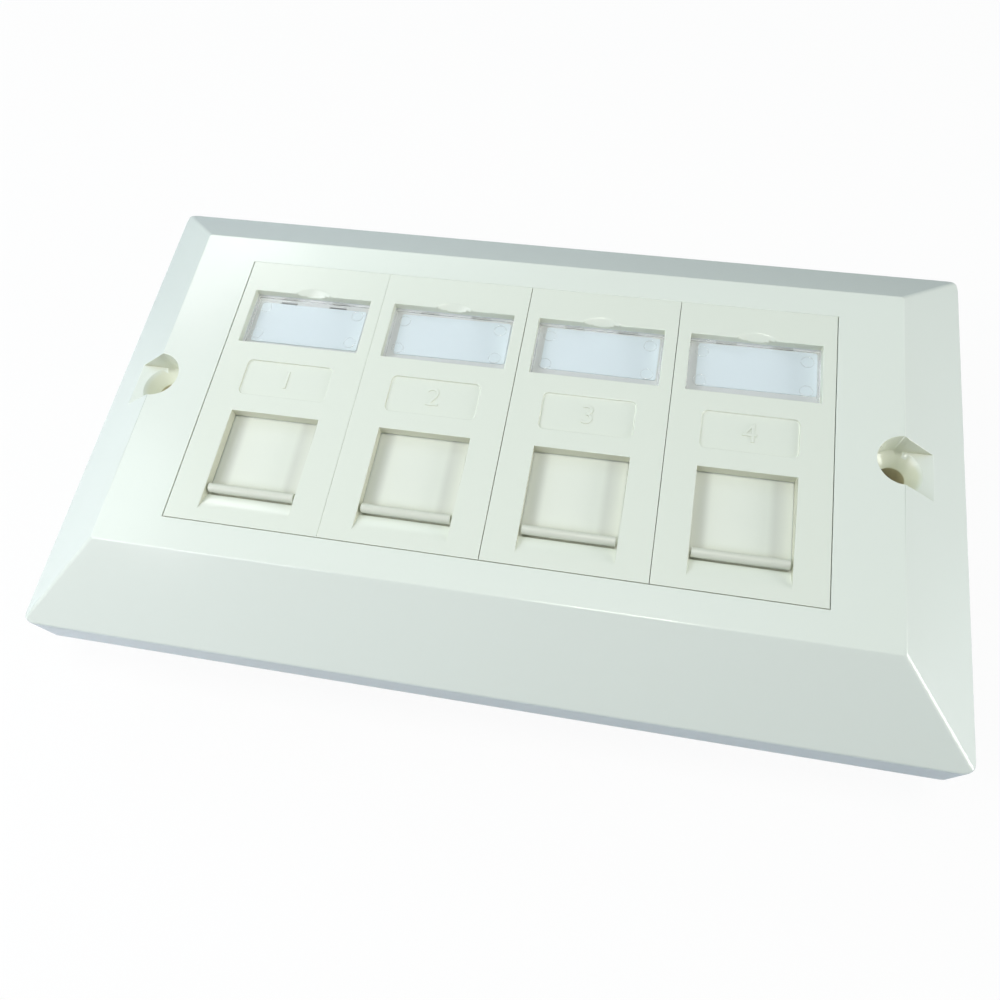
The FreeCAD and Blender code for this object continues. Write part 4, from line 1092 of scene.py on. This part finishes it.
# %% The ring tree
rings, given, results = open_group(
    "pin rings",
    "GeometryNodeTree",
    {
        "Geometry": ("NodeSocketGeometry", None),
        "Radius": ("NodeSocketFloat", 1.0 * MM),
        "Line": ("NodeSocketFloat", 0.06 * MM),
        "Finish": ("NodeSocketMaterial", None),
    },
    {"Geometry": "NodeSocketGeometry"},
)
around = circle(rings, 48, given["Radius"])
bead = circle(rings, 8, given["Line"])
ring = step(rings, "GeometryNodeCurveToMesh", {"Curve": around, "Profile Curve": bead}).outputs[0]
repeated = {"Points": given["Geometry"], "Instance": ring}
copies = step(rings, "GeometryNodeInstanceOnPoints", repeated).outputs[0]
close_tree(rings, copies, given, results)
print("ring tree", len(rings.nodes), "nodes")


# %% Rings on the panes
PIN_ACROSS = (-8.3, 8.3)
PIN_ALONG = (11.0, 16.5)


def dots(points):
    """Loose vertices at points in millimetres."""
    mesh = bpy.data.meshes.new("dots")
    mesh.from_pydata([[value * MM for value in point] for point in points], [], [])
    return mesh


for port in PORTS:
    centre = module_centre(port) / MM
    spots = dots([(centre + x, y, PANE_TOP) for x in PIN_ACROSS for y in PIN_ALONG])
    mesh = grown(f"pane_rings_{port}", spots, rings, {"Finish": acrylic})
    finished(mesh.name, mesh, acrylic, "plate", smooth=80)
print("rings", len(mesh.polygons), "faces a pane")

# %% The gate mark
NICK_SIZE = (0.42, 0.3, 0.07)
low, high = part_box("shutter_1")
nick = bmesh.new()
bmesh.ops.create_icosphere(nick, subdivisions=3, radius=1.0)
middle = Vector((module_centre(1) - 0.2 * MM, low.y + 0.75 * MM, high.z - 0.02 * MM))
size = Matrix.Diagonal([*(value * MM for value in NICK_SIZE), 1])
bmesh.ops.transform(nick, verts=nick.verts, matrix=Matrix.Translation(middle) @ size)
made = piece("gate_mark", nick, shutter_cream, "shutter_1")
print("gate mark top in mm", round(max(v.co.z for v in made.data.vertices) / MM, 3))

# %% [markdown]
# ## The studio
#
# The photograph has a plain white ground and a broad light high on the left. The skirt and the
# back bevel are bluish and darker there, so the ground under the plate was a cool grey that was
# made white afterwards. The floor does the same: it is white to the camera and through the panes,
# partly white in reflections, and a cool grey to the light that bounces off it. Behind the plate
# the paper falls away into the dark, and the back bevel mirrors that. The floor keeps a faint
# shadow of the object. Six lamps then share the work: their places, strengths and faint tints were
# found by measuring the flats, the bevels and the skirt one lamp at a time.

# %% The floor
GREY_PAPER = (0.62, 0.67, 0.76)
FAR_PAPER = (0.33, 0.36, 0.39)
HALF_PLATE = 70 * MM
SEEN_WHITE = 0.93


def white_floor():
    """Nearly white to the eye, with a faint share of the real shadow."""
    made, tree, shader = new_material("white floor")
    tree.nodes.remove(shader)
    path = step(tree, "ShaderNodeLightPath").outputs
    across, along = object_place(tree)[:2]
    seen = sums(tree, "MAXIMUM", path["Is Camera Ray"], path["Is Transmission Ray"])
    ground = blended(tree, seen, GREY_PAPER, (0.9, 0.9, 0.9))
    behind = ranged(tree, along, 30 * MM, 60 * MM)
    rightward = ranged(tree, across, -HALF_PLATE, HALF_PLATE, 0.5, 1.0)
    away = times(tree, behind, path["Is Glossy Ray"], rightward)
    ground = blended(tree, away, ground, FAR_PAPER)
    paper = step(tree, "ShaderNodeBsdfDiffuse", {"Color": ground}).outputs[0]
    glow = step(tree, "ShaderNodeEmission", {"Color": (1, 1, 1, 1), "Strength": 1.0}).outputs[0]
    ahead = sums(tree, "SUBTRACT", 1.0, behind)
    gleam = ranged(tree, across, -HALF_PLATE, HALF_PLATE, 0.36, 0.14)
    mirrored = times(tree, path["Is Glossy Ray"], ahead, gleam)
    share = sums(tree, "MAXIMUM", times(tree, seen, SEEN_WHITE), mirrored)
    mixed = shader_mix(tree, share, paper, glow)
    tree.links.new(mixed, tree.nodes["Material Output"].inputs["Surface"])
    return made


shell = bmesh.new()
ground_level = Matrix.Translation((0, 0, solid_box[0].z))
bmesh.ops.create_grid(shell, x_segments=1, y_segments=1, size=6.0, matrix=ground_level)
mesh = bpy.data.meshes.new("floor")
shell.to_mesh(mesh)
shell.free()
mesh.materials.append(white_floor())
floor = bpy.data.objects.new("floor", mesh)
bpy.context.collection.objects.link(floor)
print("floor at", round(solid_box[0].z / MM, 2), "mm")

# %% The lights
def soft_light(name, place, target, size, power, colour):
    """A rectangular soft lamp that faces a target; sizes in metres."""
    lamp = bpy.data.lights.new(name, "AREA")
    lamp.shape = "RECTANGLE"
    lamp.size, lamp.size_y = size
    lamp.energy = power
    lamp.color = colour
    holder = bpy.data.objects.new(name, lamp)
    bpy.context.collection.objects.link(holder)
    holder.location = place
    holder.rotation_euler = (Vector(target) - Vector(place)).to_track_quat("-Z", "Y").to_euler()
    return holder


middle = (0, 0, 0)
soft_light("left window", (-0.45, 0, 0.3), middle, (0.4, 0.4), 0.95, (0.88, 1.0, 1.0))
soft_light("near left lamp", (-0.18, -0.13, 0.2), middle, (0.15, 0.15), 0.285, (1.0, 0.96, 1.0))
soft_light("back left lamp", (-0.313, 0.33, 0.33), middle, (0.13, 0.13), 0.2, (1.0, 0.93, 1.0))
soft_light("far wall", (-0.35, 0.8, 0.7), middle, (0.5, 0.3), 1.0, (0.86, 1.0, 0.96))
soft_light("overhead", (0.03, 0, 0.5), middle, (0.12, 0.12), 0.8, (1.0, 0.98, 0.88))
soft_light("low right lamp", (0.5, -0.05, 0.12), middle, (0.3, 0.2), 1.45, (1.0, 0.99, 0.98))

world = bpy.data.worlds.new("studio")
world.use_nodes = True
bpy.context.scene.world = world
tree = world.node_tree
path = step(tree, "ShaderNodeLightPath").outputs
air = tree.nodes["Background"]
air.inputs["Color"].default_value = (0.5, 0.76, 1.0, 1)
air.inputs["Strength"].default_value = 0.13
seen = sums(tree, "MAXIMUM", path["Is Camera Ray"], path["Is Glossy Ray"])
seen = sums(tree, "MAXIMUM", seen, path["Is Transmission Ray"])
bright = sums(tree, "MULTIPLY_ADD", path["Is Glossy Ray"], -0.3, 1.0)
white = step(tree, "ShaderNodeBackground", {"Color": (1, 1, 1, 1), "Strength": bright}).outputs[0]
mixed = shader_mix(tree, seen, air.outputs[0], white)
tree.links.new(mixed, tree.nodes["World Output"].inputs["Surface"])
